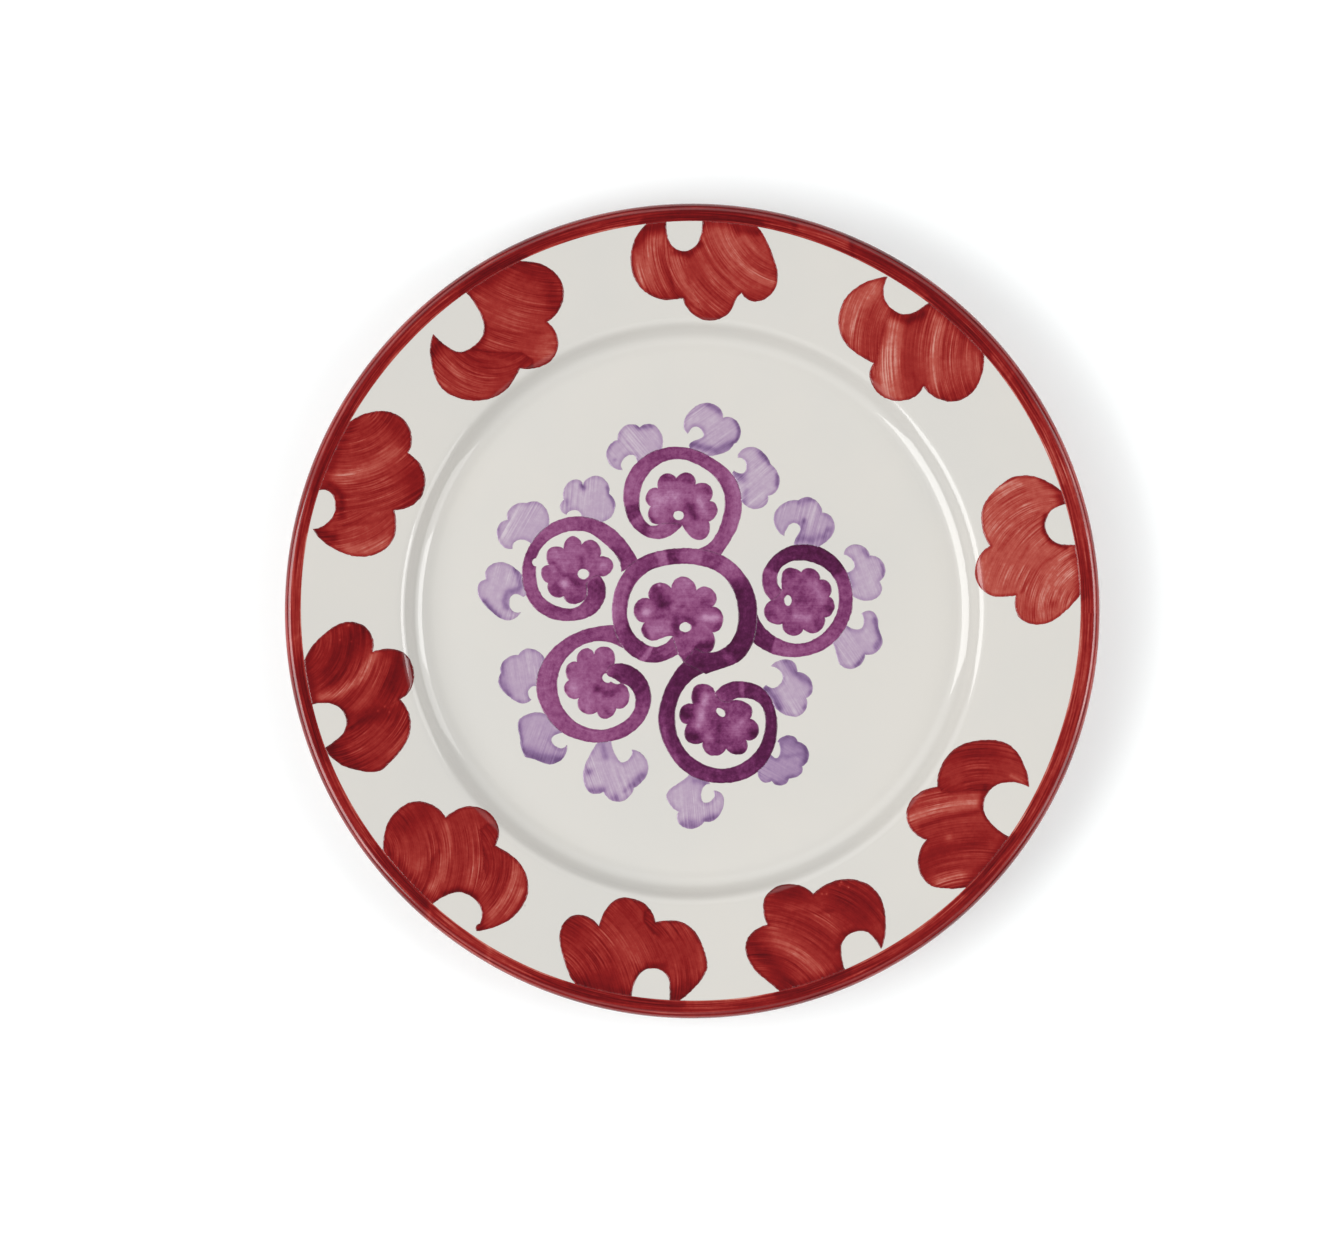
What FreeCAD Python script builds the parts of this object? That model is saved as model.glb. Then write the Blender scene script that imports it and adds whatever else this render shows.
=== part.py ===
"""Hand painted ceramic plate: thrown clay body, glaze coats and brushed decoration.

Frame: millimetres, +Z up. The foot ring stands on z = 0 and the turning axis is the Z axis.
The coats and the painted marks lie face to face on what carries them: clay, glaze, colour.
"""
import math
import os

import FreeCAD
import Part

# ---------------------------------------------------------------- driving dimensions (mm)
OUTER_DIAMETER = 270.0      # over the painted lip
WELL_DIAMETER = 171.8       # flat floor of the well
BODY_THICKNESS = 5.0        # clay wall
FOOT_HEIGHT = 3.1           # recess under the well
FOOT_WIDTH = 5.0            # standing face of the foot ring, side to side
FOOT_INSET = 1.9            # foot ring inside the edge of the well floor
FOOT_EDGE = 0.8             # rounding of the standing face
FOOT_FILLET = 1.2           # foot ring into the underside
WIPED_HEIGHT = 1.3          # bare clay left at the bottom of the foot ring
WELL_CORNER = 10.4          # floor into wall
SHOULDER = 5.6              # wall into rim
WALL_SLOPE = 55.2           # degrees, steepest part of the wall
RIM_SLOPE = 9.0             # degrees
UNDER_SLOPE = 40.0          # degrees, steepest part of the underside
GLAZE = 0.35                # coat of white glaze
PAINT = 0.15                # brushed colour
BAND_WIDTH = 6.0            # lip band on the upper side, seen from above
BAND_WANDER = 0.6           # the band is laid this much off centre
BAND_WANDER_TO = 12.0       # degrees, side where the band is widest
BAND_RIPPLE = 0.12          # unsteadiness of the brush
BAND_UNDER = 3.0            # lip band on the underside

# ---------------------------------------------------------------- derived dimensions
OUTER_RADIUS = OUTER_DIAMETER / 2
WELL_RADIUS = WELL_DIAMETER / 2
FOOT_RADIUS = WELL_RADIUS - FOOT_INSET
FLOOR = FOOT_HEIGHT + BODY_THICKNESS
LIP = BODY_THICKNESS / 2
GLAZE_FLOOR = FLOOR + GLAZE
WELL_SCALE = WELL_RADIUS / 85.9
LEAF_DATUM = OUTER_RADIUS - BAND_WIDTH + 0.5
LEAF_ALONG = OUTER_RADIUS / 135.0


def radians(degrees):
    return degrees * math.pi / 180.0


def across(slope):
    """Unit vector square to a surface of this slope, pointing up and inwards."""
    return FreeCAD.Vector(-math.sin(radians(slope)), 0, math.cos(radians(slope)))


def along(slope):
    return FreeCAD.Vector(math.cos(radians(slope)), 0, math.sin(radians(slope)))


# Centres of the four round parts of the section, in the XZ plane.
CORNER_CENTRE = FreeCAD.Vector(WELL_RADIUS, 0, FLOOR + WELL_CORNER)
SHOULDER_CENTRE = CORNER_CENTRE - across(WALL_SLOPE) * (WELL_CORNER + SHOULDER)
LIP_LINE = SHOULDER_CENTRE + across(RIM_SLOPE) * (SHOULDER - LIP)
LIP_REACH = OUTER_RADIUS - PAINT - GLAZE - LIP - LIP_LINE.x
LIP_CENTRE = LIP_LINE + along(RIM_SLOPE) * (LIP_REACH / math.cos(radians(RIM_SLOPE)))

# The underside leaves the floor on a curve round the well corner, then eases out
# into the rim on a second curve whose radius makes it run into the rim underside.
UNDER_CORNER = WELL_CORNER + BODY_THICKNESS
TURN = math.cos(radians(UNDER_SLOPE - RIM_SLOPE))
DROP = (CORNER_CENTRE - LIP_CENTRE).dot(across(RIM_SLOPE))
UNDER_EASE = (UNDER_CORNER * TURN - DROP - LIP) / (1.0 - TURN)
UNDER_CENTRE = CORNER_CENTRE - across(UNDER_SLOPE) * (UNDER_CORNER + UNDER_EASE)

SHOULDER_RADIUS = SHOULDER_CENTRE.x
LEAF_INWARD = (OUTER_RADIUS - SHOULDER_RADIUS) / 36.3


# ---------------------------------------------------------------- section of the plate
def line(start, end):
    return Part.makeLine(start, end)


def bow(centre, radius, from_slope, to_slope):
    """Arc whose surface slope turns from one angle to the other."""
    start = centre + across(from_slope) * radius
    middle = centre + across((from_slope + to_slope) / 2) * radius
    end = centre + across(to_slope) * radius
    return Part.Arc(start, middle, end).toShape()


def point(x, z):
    return FreeCAD.Vector(x, 0, z)


def first(edges):
    return edges[0].valueAt(edges[0].FirstParameter)


def last(edges):
    return edges[-1].valueAt(edges[-1].LastParameter)


def top_edges(coat):
    """Upper face from the axis to the lip, raised by the thickness of a coat."""
    corner = bow(CORNER_CENTRE, coat - WELL_CORNER, 0, WALL_SLOPE)
    shoulder = bow(SHOULDER_CENTRE, SHOULDER + coat, WALL_SLOPE, RIM_SLOPE)
    floor = line(point(0, FLOOR + coat), first([corner]))
    rim = line(last([shoulder]), LIP_CENTRE + across(RIM_SLOPE) * (LIP + coat))
    return [floor, corner, shoulder, rim]


def lip_edges(coat):
    return [bow(LIP_CENTRE, LIP + coat, RIM_SLOPE, RIM_SLOPE - 180)]


def under_edges(coat, bottom):
    """Underside from the lip to the outer side of the foot ring."""
    ease = bow(UNDER_CENTRE, UNDER_EASE - coat, RIM_SLOPE, UNDER_SLOPE)
    corner = bow(CORNER_CENTRE, -UNDER_CORNER - coat, UNDER_SLOPE, 0)
    rim = line(LIP_CENTRE - across(RIM_SLOPE) * (LIP + coat), first([ease]))
    fillet_centre = point(FOOT_RADIUS + FOOT_FILLET, FOOT_HEIGHT - FOOT_FILLET)
    fillet = bow(fillet_centre, FOOT_FILLET - coat, 0, 90)
    floor = line(last([corner]), first([fillet]))
    side = line(last([fillet]), point(FOOT_RADIUS + coat, bottom))
    return [rim, ease, corner, floor, fillet, side]


def recess_edges(coat, bottom):
    """Inside of the foot ring, from its inner side to the axis."""
    inner = FOOT_RADIUS - FOOT_WIDTH
    fillet_centre = point(inner - FOOT_FILLET, FOOT_HEIGHT - FOOT_FILLET)
    fillet = bow(fillet_centre, FOOT_FILLET - coat, -90, 0)
    side = line(point(inner - coat, bottom), first([fillet]))
    ceiling = line(last([fillet]), point(0, FOOT_HEIGHT - coat))
    return [side, fillet, ceiling]


def turned(edges):
    """Solid of revolution from the edges of a closed section."""
    wire = Part.Wire(Part.__sortEdges__(edges))
    return Part.Face(wire).revolve(point(0, 0), FreeCAD.Vector(0, 0, 1), 360)


def coat_between(inner, outer):
    """Solid between two neighbouring runs of the section."""
    ends = [line(first(inner), first(outer)), line(last(inner), last(outer))]
    return turned(inner + outer + ends)


# ---------------------------------------------------------------- clay and glaze
def make_clay():
    outer_edge = bow(point(FOOT_RADIUS - FOOT_EDGE, FOOT_EDGE), FOOT_EDGE, -90, -180)
    inner_x = FOOT_RADIUS - FOOT_WIDTH
    inner_edge = bow(point(inner_x + FOOT_EDGE, FOOT_EDGE), FOOT_EDGE, -180, -270)
    standing = line(last([outer_edge]), first([inner_edge]))
    edges = top_edges(0) + lip_edges(0) + under_edges(0, FOOT_EDGE)
    edges += [outer_edge, standing, inner_edge] + recess_edges(0, FOOT_EDGE)
    edges += [line(last(edges), first(edges))]
    return turned(edges)


def face_run(coat):
    return top_edges(coat) + lip_edges(coat) + under_edges(coat, WIPED_HEIGHT)


def make_face_glaze():
    return coat_between(face_run(0), face_run(GLAZE))


def make_base_glaze():
    return coat_between(recess_edges(0, WIPED_HEIGHT), recess_edges(GLAZE, WIPED_HEIGHT))


# ---------------------------------------------------------------- brushed outlines
def spot(x, y):
    return FreeCAD.Vector(x, y, 0)


def stroke_edge(points):
    """One unbroken stretch of an outline: straight, or a smooth curve."""
    if len(points) == 2:
        return Part.makeLine(points[0], points[1])
    if len(points) == 3:
        return Part.Arc(points[0], points[1], points[2]).toShape()
    curve = Part.BSplineCurve()
    curve.interpolate(points)
    return curve.toShape()


def outline(stretches, place=spot):
    """Flat face. Each stretch begins where the one before it ended."""
    edges = []
    start = place(*stretches[-1][-1])
    for stretch in stretches:
        points = [start] + [place(x, y) for x, y in stretch]
        edges.append(stroke_edge(points))
        start = points[-1]
    return Part.Face(Part.Wire(edges))


def well_spot(x, y):
    return spot(x * WELL_SCALE, y * WELL_SCALE)


def main_face(shape):
    """The one real patch left by a cut, without slivers."""
    return max(shape.Faces, key=lambda face: face.Area)


def beside(face, neighbours):
    """A patch of colour trimmed so it stops at its neighbours."""
    for neighbour in neighbours:
        face = main_face(face.cut(neighbour))
    return face


def flat_mark(face):
    """Colour on the flat floor of the well."""
    mark = face.extrude(FreeCAD.Vector(0, 0, PAINT))
    mark.translate(FreeCAD.Vector(0, 0, GLAZE_FLOOR))
    return mark


# ---------------------------------------------------------------- lip band
def band_edge():
    """Inner edge of the lip band, as a flat disc."""
    points = []
    for step in range(40):
        turn = 2 * math.pi * step / 40
        wander = BAND_WANDER * math.cos(turn - radians(BAND_WANDER_TO))
        ripple = BAND_RIPPLE * (math.sin(5 * turn) + math.sin(9 * turn + 1))
        reach = OUTER_RADIUS - BAND_WIDTH - wander + ripple
        points.append(spot(reach * math.cos(turn), reach * math.sin(turn)))
    curve = Part.BSplineCurve()
    curve.interpolate(points, PeriodicFlag=True)
    return Part.Face(Part.Wire(curve.toShape()))


def band_run(coat):
    """Section of the lip band, with spare width on the upper side."""
    tip = LIP_CENTRE + across(RIM_SLOPE) * (LIP + coat)
    tail = LIP_CENTRE - across(RIM_SLOPE) * (LIP + coat)
    spare = along(RIM_SLOPE) * (2 * BAND_WIDTH)
    under = along(RIM_SLOPE) * BAND_UNDER
    return [line(tip - spare, tip)] + lip_edges(coat) + [line(tail, tail - under)]


def make_band(disc):
    ring = coat_between(band_run(GLAZE), band_run(GLAZE + PAINT))
    return ring.cut(disc.extrude(FreeCAD.Vector(0, 0, 60)))


# ---------------------------------------------------------------- red leaves on the rim
# Each leaf hangs from the lip band in its own frame: x runs counter-clockwise round the
# plate, y runs inwards from the band. Left lobe, middle lobe, right lobe with the hook,
# notch, and the base that the band covers.
RIM_LEAVES = [
    (9, [
        [(-17.5, 5), (-20.4, 9.3), (-22.4, 14.5), (-21.6, 19.8), (-18.9, 23.1), (-16, 23.7), (-11.7, 22.9)],
        [(-11.5, 26), (-10.7, 30.4), (-8, 33.7), (-2.9, 35.1), (2, 33.6), (5.8, 28.7)],
        [(9, 30), (13.2, 30.4), (18.2, 29.5), (23.3, 25), (27.1, 17.6), (26, 10.2), (22.6, 5.2), (18.6, 1.4)],
        [(15.8, 0.8)],
        [(15.2, 4.6), (13.8, 7.6), (11.6, 9.2), (7.6, 9.7), (4.2, 8), (2.4, 4.6), (1.7, -1.2)],
        [(-12.8, 0)],
    ]),
    (50, [
        [(-21.4, 5), (-23.4, 8.8), (-24.4, 13.4), (-23.2, 18.8), (-19.5, 22.4), (-15, 23.8), (-10.8, 23.4)],
        [(-10.8, 28), (-8.9, 31.1), (-5, 34), (-0.6, 34.7), (3.6, 33.3), (6.8, 28.1)],
        [(10, 28.8), (14.5, 29.4), (20, 28.5), (25, 24.4), (27.7, 16.6), (26.2, 10), (21.6, 3.3)],
        [(21, 5.4), (18.6, 8.8), (12.7, 10.5), (8.5, 8.4), (6.3, 4), (4.9, -1)],
        [(-17.6, 0.4)],
    ]),
    (88, [
        [(-18.9, 4), (-21.2, 8.1), (-23.4, 13.4), (-24.4, 18.4), (-23.1, 23), (-18.8, 26.2), (-12.6, 23.7)],
        [(-10.7, 26.2), (-9.2, 29.8), (-6, 32.5), (-2.3, 33.3), (2.6, 31.7), (6.6, 26.2)],
        [(9, 26.6), (12.6, 26.9), (18, 25.3), (23, 20), (24.4, 13), (22.6, 6), (16.8, 0.3)],
        [(13.2, -0.4)],
        [(12.9, 4), (11.6, 8.2), (7.6, 10.6), (3.4, 9), (1.4, 4.8), (1.3, -1.3)],
        [(-14.6, -0.2)],
    ]),
    (126, [
        [(-24.5, 4.5), (-27, 7.3), (-28.7, 11), (-29.1, 15.5), (-27, 20), (-23, 23), (-17.3, 23.8)],
        [(-17.7, 27.6), (-15.8, 32.4), (-11, 35), (-6.5, 34.4), (-1.1, 31.1)],
        [(3, 33), (8.7, 34.2), (14, 32.8), (20, 28.5), (23.7, 21), (22, 13.4), (18.3, 7.3), (15.6, 5.1)],
        [(14.7, 9.4), (12, 14.8), (6.9, 16.2), (1.6, 14.3), (-1.2, 8.6), (-1.1, -1.6)],
        [(-19.6, 0.6)],
    ]),
    (158, [
        [(-18.8, 3.5), (-21.6, 7), (-23.5, 12), (-22.7, 17.6), (-18.7, 21.8), (-13.2, 22.6)],
        [(-12.4, 25.7), (-9.7, 29.7), (-5.4, 32), (-1, 32.1), (3, 29.8), (5.9, 25.6)],
        [(9.4, 27.6), (14.5, 28.9), (19.8, 27.1), (24.6, 20.6), (25.4, 12.8), (23.5, 5.6), (21.9, 3)],
        [(19.4, 6), (15.2, 7.6), (11.4, 6.8), (8.8, 4.6), (10, -0.9)],
        [(-14, 0.2)],
    ]),
    (194, [
        [(-17.6, 3.1), (-20.9, 7.5), (-23.3, 12.4), (-24.1, 17), (-21.6, 22.8), (-17.3, 24.7), (-12.5, 23.6)],
        [(-12.4, 28), (-10, 33.2), (-6.9, 35), (-2.6, 35.2), (2, 33.3), (4.9, 28.6)],
        [(8, 29.9), (13, 30.2), (18.2, 28), (24, 21), (26.1, 17), (24.8, 10.3), (21.5, 4.9), (14.7, 0.4)],
        [(13.3, 4.2), (10.4, 8.5), (6.6, 9.8), (2.6, 8.4), (0.3, 5), (-0.2, -1.4)],
        [(-13, 0)],
    ]),
    (228, [
        [(-24.9, 4.6), (-27.6, 9.2), (-28.3, 15), (-26.4, 20.8), (-21.7, 24.1), (-14.9, 24)],
        [(-14.3, 27.3), (-12.4, 31.2), (-8.2, 34.3), (-4, 34.9), (0.2, 33.4), (3.5, 28.3)],
        [(7.5, 29.1), (13.5, 29.3), (20.6, 25.6), (23.6, 19), (23, 11.8), (19.2, 4.7), (17.8, 3)],
        [(16.9, 3.8), (17.1, 5.6)],
        [(14.9, 9), (9.6, 10.5), (5.2, 9), (2.5, 5.3), (0.8, -1.3)],
        [(-22, 0.8)],
    ]),
    (260, [
        [(-17.8, 2.3), (-21.4, 8), (-24, 13.6), (-24.4, 19), (-21.4, 23.4), (-17.4, 24), (-12.4, 21.3)],
        [(-11.8, 24.4), (-10, 29.2), (-6.8, 31.9), (-2.8, 32.4), (2.4, 30.7), (5.9, 26)],
        [(9, 27), (13.4, 27.6), (18.6, 25.8), (23, 20.2), (25.3, 14.6), (23.4, 8.6), (19, 2.7), (16.6, 0.2)],
        [(15.2, 0)],
        [(14.4, 5.4), (12.6, 9.5), (9.2, 10.9), (4.9, 9.6), (2.6, 5.6), (2.9, -1.4)],
        [(-14.2, 0.2)],
    ]),
    (291, [
        [(-19, 3.4), (-21.4, 7.7), (-23.7, 13.2), (-23.8, 17.8), (-21.4, 22.1), (-18.2, 23.5), (-14, 23.6)],
        [(-13.8, 27.4), (-11.9, 31.9), (-8, 34.1), (-4, 34.1), (0.4, 32.1), (3.8, 27.7)],
        [(7.6, 28.9), (12, 29.2), (17.8, 27.5), (22.7, 23), (24.2, 17), (22.8, 10.5), (20.2, 5), (18.3, 2.8)],
        [(17.8, 5.6), (15.8, 9.8), (12.1, 11.2), (7.6, 9.8), (5.3, 5.8), (4.7, -1.2)],
        [(-17.4, 0.6)],
    ]),
    (324, [
        [(-22, 3.8), (-25, 7.8), (-27.1, 12.8), (-25.7, 17.8), (-21.6, 21.2), (-15.5, 22.2)],
        [(-16.2, 26.8), (-14.2, 31.3), (-9.8, 33.9), (-5.4, 33.6), (0.6, 29.8)],
        [(4.6, 32), (10, 33), (15.8, 31.8), (22, 26.5), (25.8, 18.9), (24.2, 12.4), (18.5, 5.2)],
        [(17.1, 9.4), (13.4, 13.8), (8.9, 15.1), (3.6, 13.1), (1.2, 8), (1.6, -1.3)],
        [(-17.8, 0.2)],
    ]),
]


def leaf_frame(angle):
    """Placing of a rim leaf point at this angle round the plate, degrees."""
    outward = spot(math.cos(radians(angle)), math.sin(radians(angle)))
    round_about = spot(-math.sin(radians(angle)), math.cos(radians(angle)))

    def place(x, y):
        return outward * (LEAF_DATUM - y * LEAF_INWARD) + round_about * (x * LEAF_ALONG)
    return place


def make_leaf(angle, stretches, disc, film):
    face = main_face(outline(stretches, leaf_frame(angle)).common(disc))
    return face.extrude(FreeCAD.Vector(0, 0, 60)).common(film)


# ---------------------------------------------------------------- purple ring and scrolls
# Points of the well pattern are in the plate frame. A stroke runs out along its outer
# edge and comes back along its inner edge; the ends lie under what covers them.
CENTRE_RING = [
    [(-9, -16.4), (-12.6, -17.2), (-18, -16), (-23.5, -11.4), (-26.2, -4.5), (-26.5, 2.5),
     (-24.6, 9.5), (-21, 14.9), (-14, 19.1), (-4.5, 20.8), (5, 20.1), (12, 17.3), (18, 11.3),
     (21.2, 3.5), (21.5, -3.5), (20.2, -10.4), (16.5, -16), (11, -18.7), (4.6, -20.9)],
    [(-2.8, -17)],
    [(1.2, -12.3)],
    [(3.5, -13.5), (10, -12.8), (14.1, -8.2), (15.4, -1.5), (14.2, 5.6), (10.6, 11.4),
     (4, 14.9), (-4, 15.7), (-11.5, 14.5), (-17.2, 11.2), (-20.8, 5), (-21.7, -1), (-20, -6.8),
     (-16.2, -10.6), (-12.4, -12), (-8.4, -10.5), (-6.5, -8.4)],
    [(-4.6, -14.4)],
]
SCROLLS = [
    ("scroll_1", [
        [(13.5, 24.8), (15.9, 30.5), (16.4, 37.4), (14.2, 44.2), (8, 50), (1, 53.6), (-6, 54.6),
         (-13.4, 52.9), (-19.2, 48.4), (-22.4, 42.2), (-22.6, 35.6), (-20.2, 28.9), (-16, 25.2),
         (-11, 24), (-6.6, 25.6), (-3.3, 28.6)],
        [(-7, 31), (-10.8, 28.9)],
        [(-14, 28.5), (-16.8, 31.8), (-17.6, 36.8), (-16.3, 42.8), (-12.4, 47.9), (-5.6, 50.6),
         (3, 48.1), (9, 42.8), (11, 36), (9.5, 28.8), (6, 22.8), (1.2, 20.3), (-3, 19.4)],
        [(9, 18)],
    ]),
    ("scroll_2", [
        [(-21, 21.6), (-25.5, 26.7), (-32, 30.4), (-39.4, 31.4), (-47, 29), (-53, 23.3), (-56.4, 15),
         (-55.7, 6.8), (-51.6, 0.3), (-45, -2.9), (-38, -3), (-31.6, 0), (-28.7, 6), (-30.9, 11.8)],
        [(-33, 11.5), (-35.3, 8.4)],
        [(-35.1, 5), (-38.6, 1.2), (-44.4, 1.4), (-49.6, 4.6), (-51.9, 11), (-51.9, 14.8)],
        [(-53.3, 16.3), (-52, 17.6)],
        [(-49, 22.4), (-42.4, 26.2), (-35, 26.3), (-28.6, 22), (-24.3, 16.8), (-23.6, 13)],
        [(-17.8, 16.4)],
    ]),
    ("scroll_3", [
        [(-33.5, -5.6), (-42, -9.1), (-48.6, -15.3), (-51.8, -24), (-50, -32.2), (-45, -39),
         (-37, -43), (-28.4, -43.5), (-20.3, -40.6), (-14.8, -34), (-14, -26), (-18.5, -19.4),
         (-26, -17.6)],
        [(-28.6, -19), (-26.6, -22)],
        [(-23.6, -24)],
        [(-19.8, -26.5), (-19.2, -32.5), (-24, -37.6), (-31, -39.5), (-38, -37.4), (-43.2, -32),
         (-45, -24.5), (-42.7, -16.8), (-37, -11.5), (-30, -10), (-23.8, -11.8), (-20, -14.4)],
        [(-24, -4.8)],
    ]),
    ("scroll_4", [
        [(-7.3, -22.9), (-10.4, -30.4), (-11.2, -37), (-8.8, -45), (-4, -52), (2.5, -56), (10, -57.2),
         (18.4, -55.5), (24.6, -50.5), (27.9, -42.5), (27.9, -34), (24, -26.3), (18.4, -23.8)],
        [(15, -23.4), (10, -25), (7.6, -27.4)],
        [(10, -30.4), (12.3, -30.2)],
        [(17.4, -28.8), (22.6, -31), (24.4, -37.4), (21.9, -45.8)],
        [(17.4, -50.2), (10, -52.5), (2.6, -50.5), (-3.2, -45), (-5.8, -36), (-4.1, -28),
         (0.4, -22.4), (6, -20)],
        [(-2.8, -16.9)],
    ]),
    ("scroll_5", [
        [(23, -12.4), (29, -14.8), (36, -15.2), (43.5, -12.9), (49.6, -7.6), (53, -0.2), (53.1, 7.6),
         (49.6, 15.8), (43.2, 20.9), (35.5, 22.1), (28.2, 19.2), (24.3, 14.3)],
        [(23.3, 9.8), (24.4, 5.9), (26.4, 3.6)],
        [(29, 5), (29.9, 7)],
        [(28.2, 10.6), (30, 14.9), (34.5, 16.8), (41, 16), (46.6, 11.9), (48.9, 4.5), (47.4, -2.4),
         (42, -8.6), (34.6, -10.9), (27.6, -8.6), (22.8, -3.8), (21.2, 3)],
        [(19.6, -9.4)],
    ]),
]

# ---------------------------------------------------------------- purple flowers
# Lobes in turn round the flower; the last stretch is the foot, where the stroke joins.
FLOWERS = [
    ("scroll_flower_1", [
        [(-14.4, 31), (-14.6, 33), (-13.7, 34.8)],
        [(-15.3, 36.6), (-15.1, 39), (-13.2, 40.8), (-11.3, 40.6)],
        [(-11.4, 43), (-10.2, 45), (-8, 45.7), (-5.3, 43.9)],
        [(-4, 45.4), (-1.8, 46), (0.2, 45), (1, 41.9)],
        [(3.8, 42.6), (6, 41.5), (6.8, 39.2), (5.8, 36.6)],
        [(7.6, 35.7), (8.4, 33.5), (7.5, 31.2), (5.4, 29.8)],
        [(5.8, 27), (4.6, 24.5), (2.2, 23.7), (-0.6, 25), (-3.3, 28.6)],
        [(-6.6, 29.2), (-10.8, 28.9)],
    ]),
    ("scroll_flower_2", [
        [(-38.8, 2.4), (-41.4, 3), (-42.8, 5.1)],
        [(-45.3, 4.6), (-47.2, 5.8), (-47.9, 9.3)],
        [(-49.7, 10.9), (-50.2, 13.2), (-47.5, 15.4)],
        [(-48.4, 18.4), (-47.4, 20.8), (-45.2, 21.4), (-42.7, 20.7)],
        [(-42.1, 23.2), (-39.8, 24.8), (-37.6, 23.9), (-36.8, 22)],
        [(-35.4, 23.2), (-33.4, 23.6), (-31.4, 22.3), (-30.7, 18.1)],
        [(-28.4, 17.9), (-26.4, 16), (-26.9, 13.4), (-30.9, 11.8)],
        [(-34, 10.6), (-35.3, 8.4)],
    ]),
    ("scroll_flower_3", [
        [(-22.2, -25), (-20.9, -28.6), (-22.2, -31.6), (-25.3, -32.3)],
        [(-26.6, -34.8), (-29, -35.9), (-31.6, -33.5)],
        [(-35, -34.2), (-37.3, -32.8), (-37.7, -29)],
        [(-40.6, -28.8), (-42.5, -26.4), (-40.8, -23)],
        [(-42, -20.6), (-41.3, -17.9), (-38.2, -17)],
        [(-37.9, -14.2), (-35.4, -12.4), (-32.6, -14.4)],
        [(-30.4, -12), (-27.4, -12.4), (-25.7, -15.2), (-26, -17.6)],
        [(-28.4, -20.6), (-23.6, -24)],
    ]),
    ("scroll_flower_4", [
        [(16.8, -30), (19.8, -32.4), (19.2, -35.8)],
        [(21.5, -37.4), (22.2, -40), (20.8, -42.4), (17.8, -42.8)],
        [(18.4, -45), (17.3, -47), (15.2, -47.7), (11.3, -45.6)],
        [(9.8, -47.5), (6.6, -48), (4.2, -46.6), (3.6, -43.6)],
        [(0.6, -44.2), (-2, -42.8), (-2.5, -39.9), (-1.4, -37.6)],
        [(-3.7, -36.4), (-4.2, -33.9), (-2.6, -31.4), (0.3, -30.9)],
        [(-0.1, -27.6), (1, -25.1), (4, -24.3), (7.6, -27.4)],
        [(9.4, -29.6), (12.3, -30.2)],
    ]),
    ("scroll_flower_5", [
        [(29.9, 11.5), (31, 13.9), (33.6, 14.2), (36.3, 12.8)],
        [(38.2, 14.2), (40.9, 13.6), (42.5, 10.4)],
        [(45, 9.8), (46.3, 7.4), (45.6, 4.8)],
        [(47.2, 2.8), (46.9, -0.2), (44.1, -2.2)],
        [(43.9, -4.6), (42.3, -6.6), (37, -6)],
        [(34.6, -8.1), (31.6, -7.5), (30, -4.2)],
        [(26.6, -4), (24.2, -1.6), (24.3, 1.4), (26.4, 3.6)],
        [(28.6, 5.2), (29.9, 7)],
    ]),
    ("centre_flower", [
        [(-9.5, -8.7), (-13.6, -9.8), (-16.4, -7.8), (-15.6, -3.7)],
        [(-18.8, -2.2), (-19.2, 1.4), (-17.4, 3.8), (-14.2, 4)],
        [(-14.3, 6.6), (-12.4, 8.9), (-9.6, 9.2), (-6.9, 7.5)],
        [(-5.6, 10.3), (-3, 11.4), (-0.2, 10.2), (1.3, 6.6)],
        [(3.4, 8), (6.2, 7.4), (8.1, 4.6), (6.5, 1.4)],
        [(9.2, 0.4), (10.3, -2.4), (9.5, -5.6), (6.6, -7)],
        [(7.6, -9.6), (6.9, -12.5), (1.2, -12.3)],
        [(-2.8, -17)],
        [(-4.6, -14.4)],
        [(-6.5, -8.4)],
    ]),
]

# White eyes left open in the flowers: centre, half width, half height, turn in degrees.
EYES = {
    "scroll_flower_1": ((-4.5, 31.8), 1.8, 1.6, 0),
    "scroll_flower_2": ((-36.2, 12.3), 1.9, 1.8, 0),
    "scroll_flower_3": ((-28.2, -22.3), 1.8, 1.6, -30),
    "scroll_flower_4": ((9.5, -33.7), 1.8, 1.2, -45),
    "scroll_flower_5": ((31.8, 3.5), 1.9, 1.3, 90),
    "centre_flower": ((-2.3, -5.4), 2.0, 1.7, 0),
}


def eye_face(centre, wide, high, turn):
    ellipse = Part.Ellipse(spot(0, 0), wide * WELL_SCALE, high * WELL_SCALE).toShape()
    ellipse.rotate(spot(0, 0), FreeCAD.Vector(0, 0, 1), turn)
    ellipse.translate(well_spot(*centre))
    return Part.Face(Part.Wire(ellipse))


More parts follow.
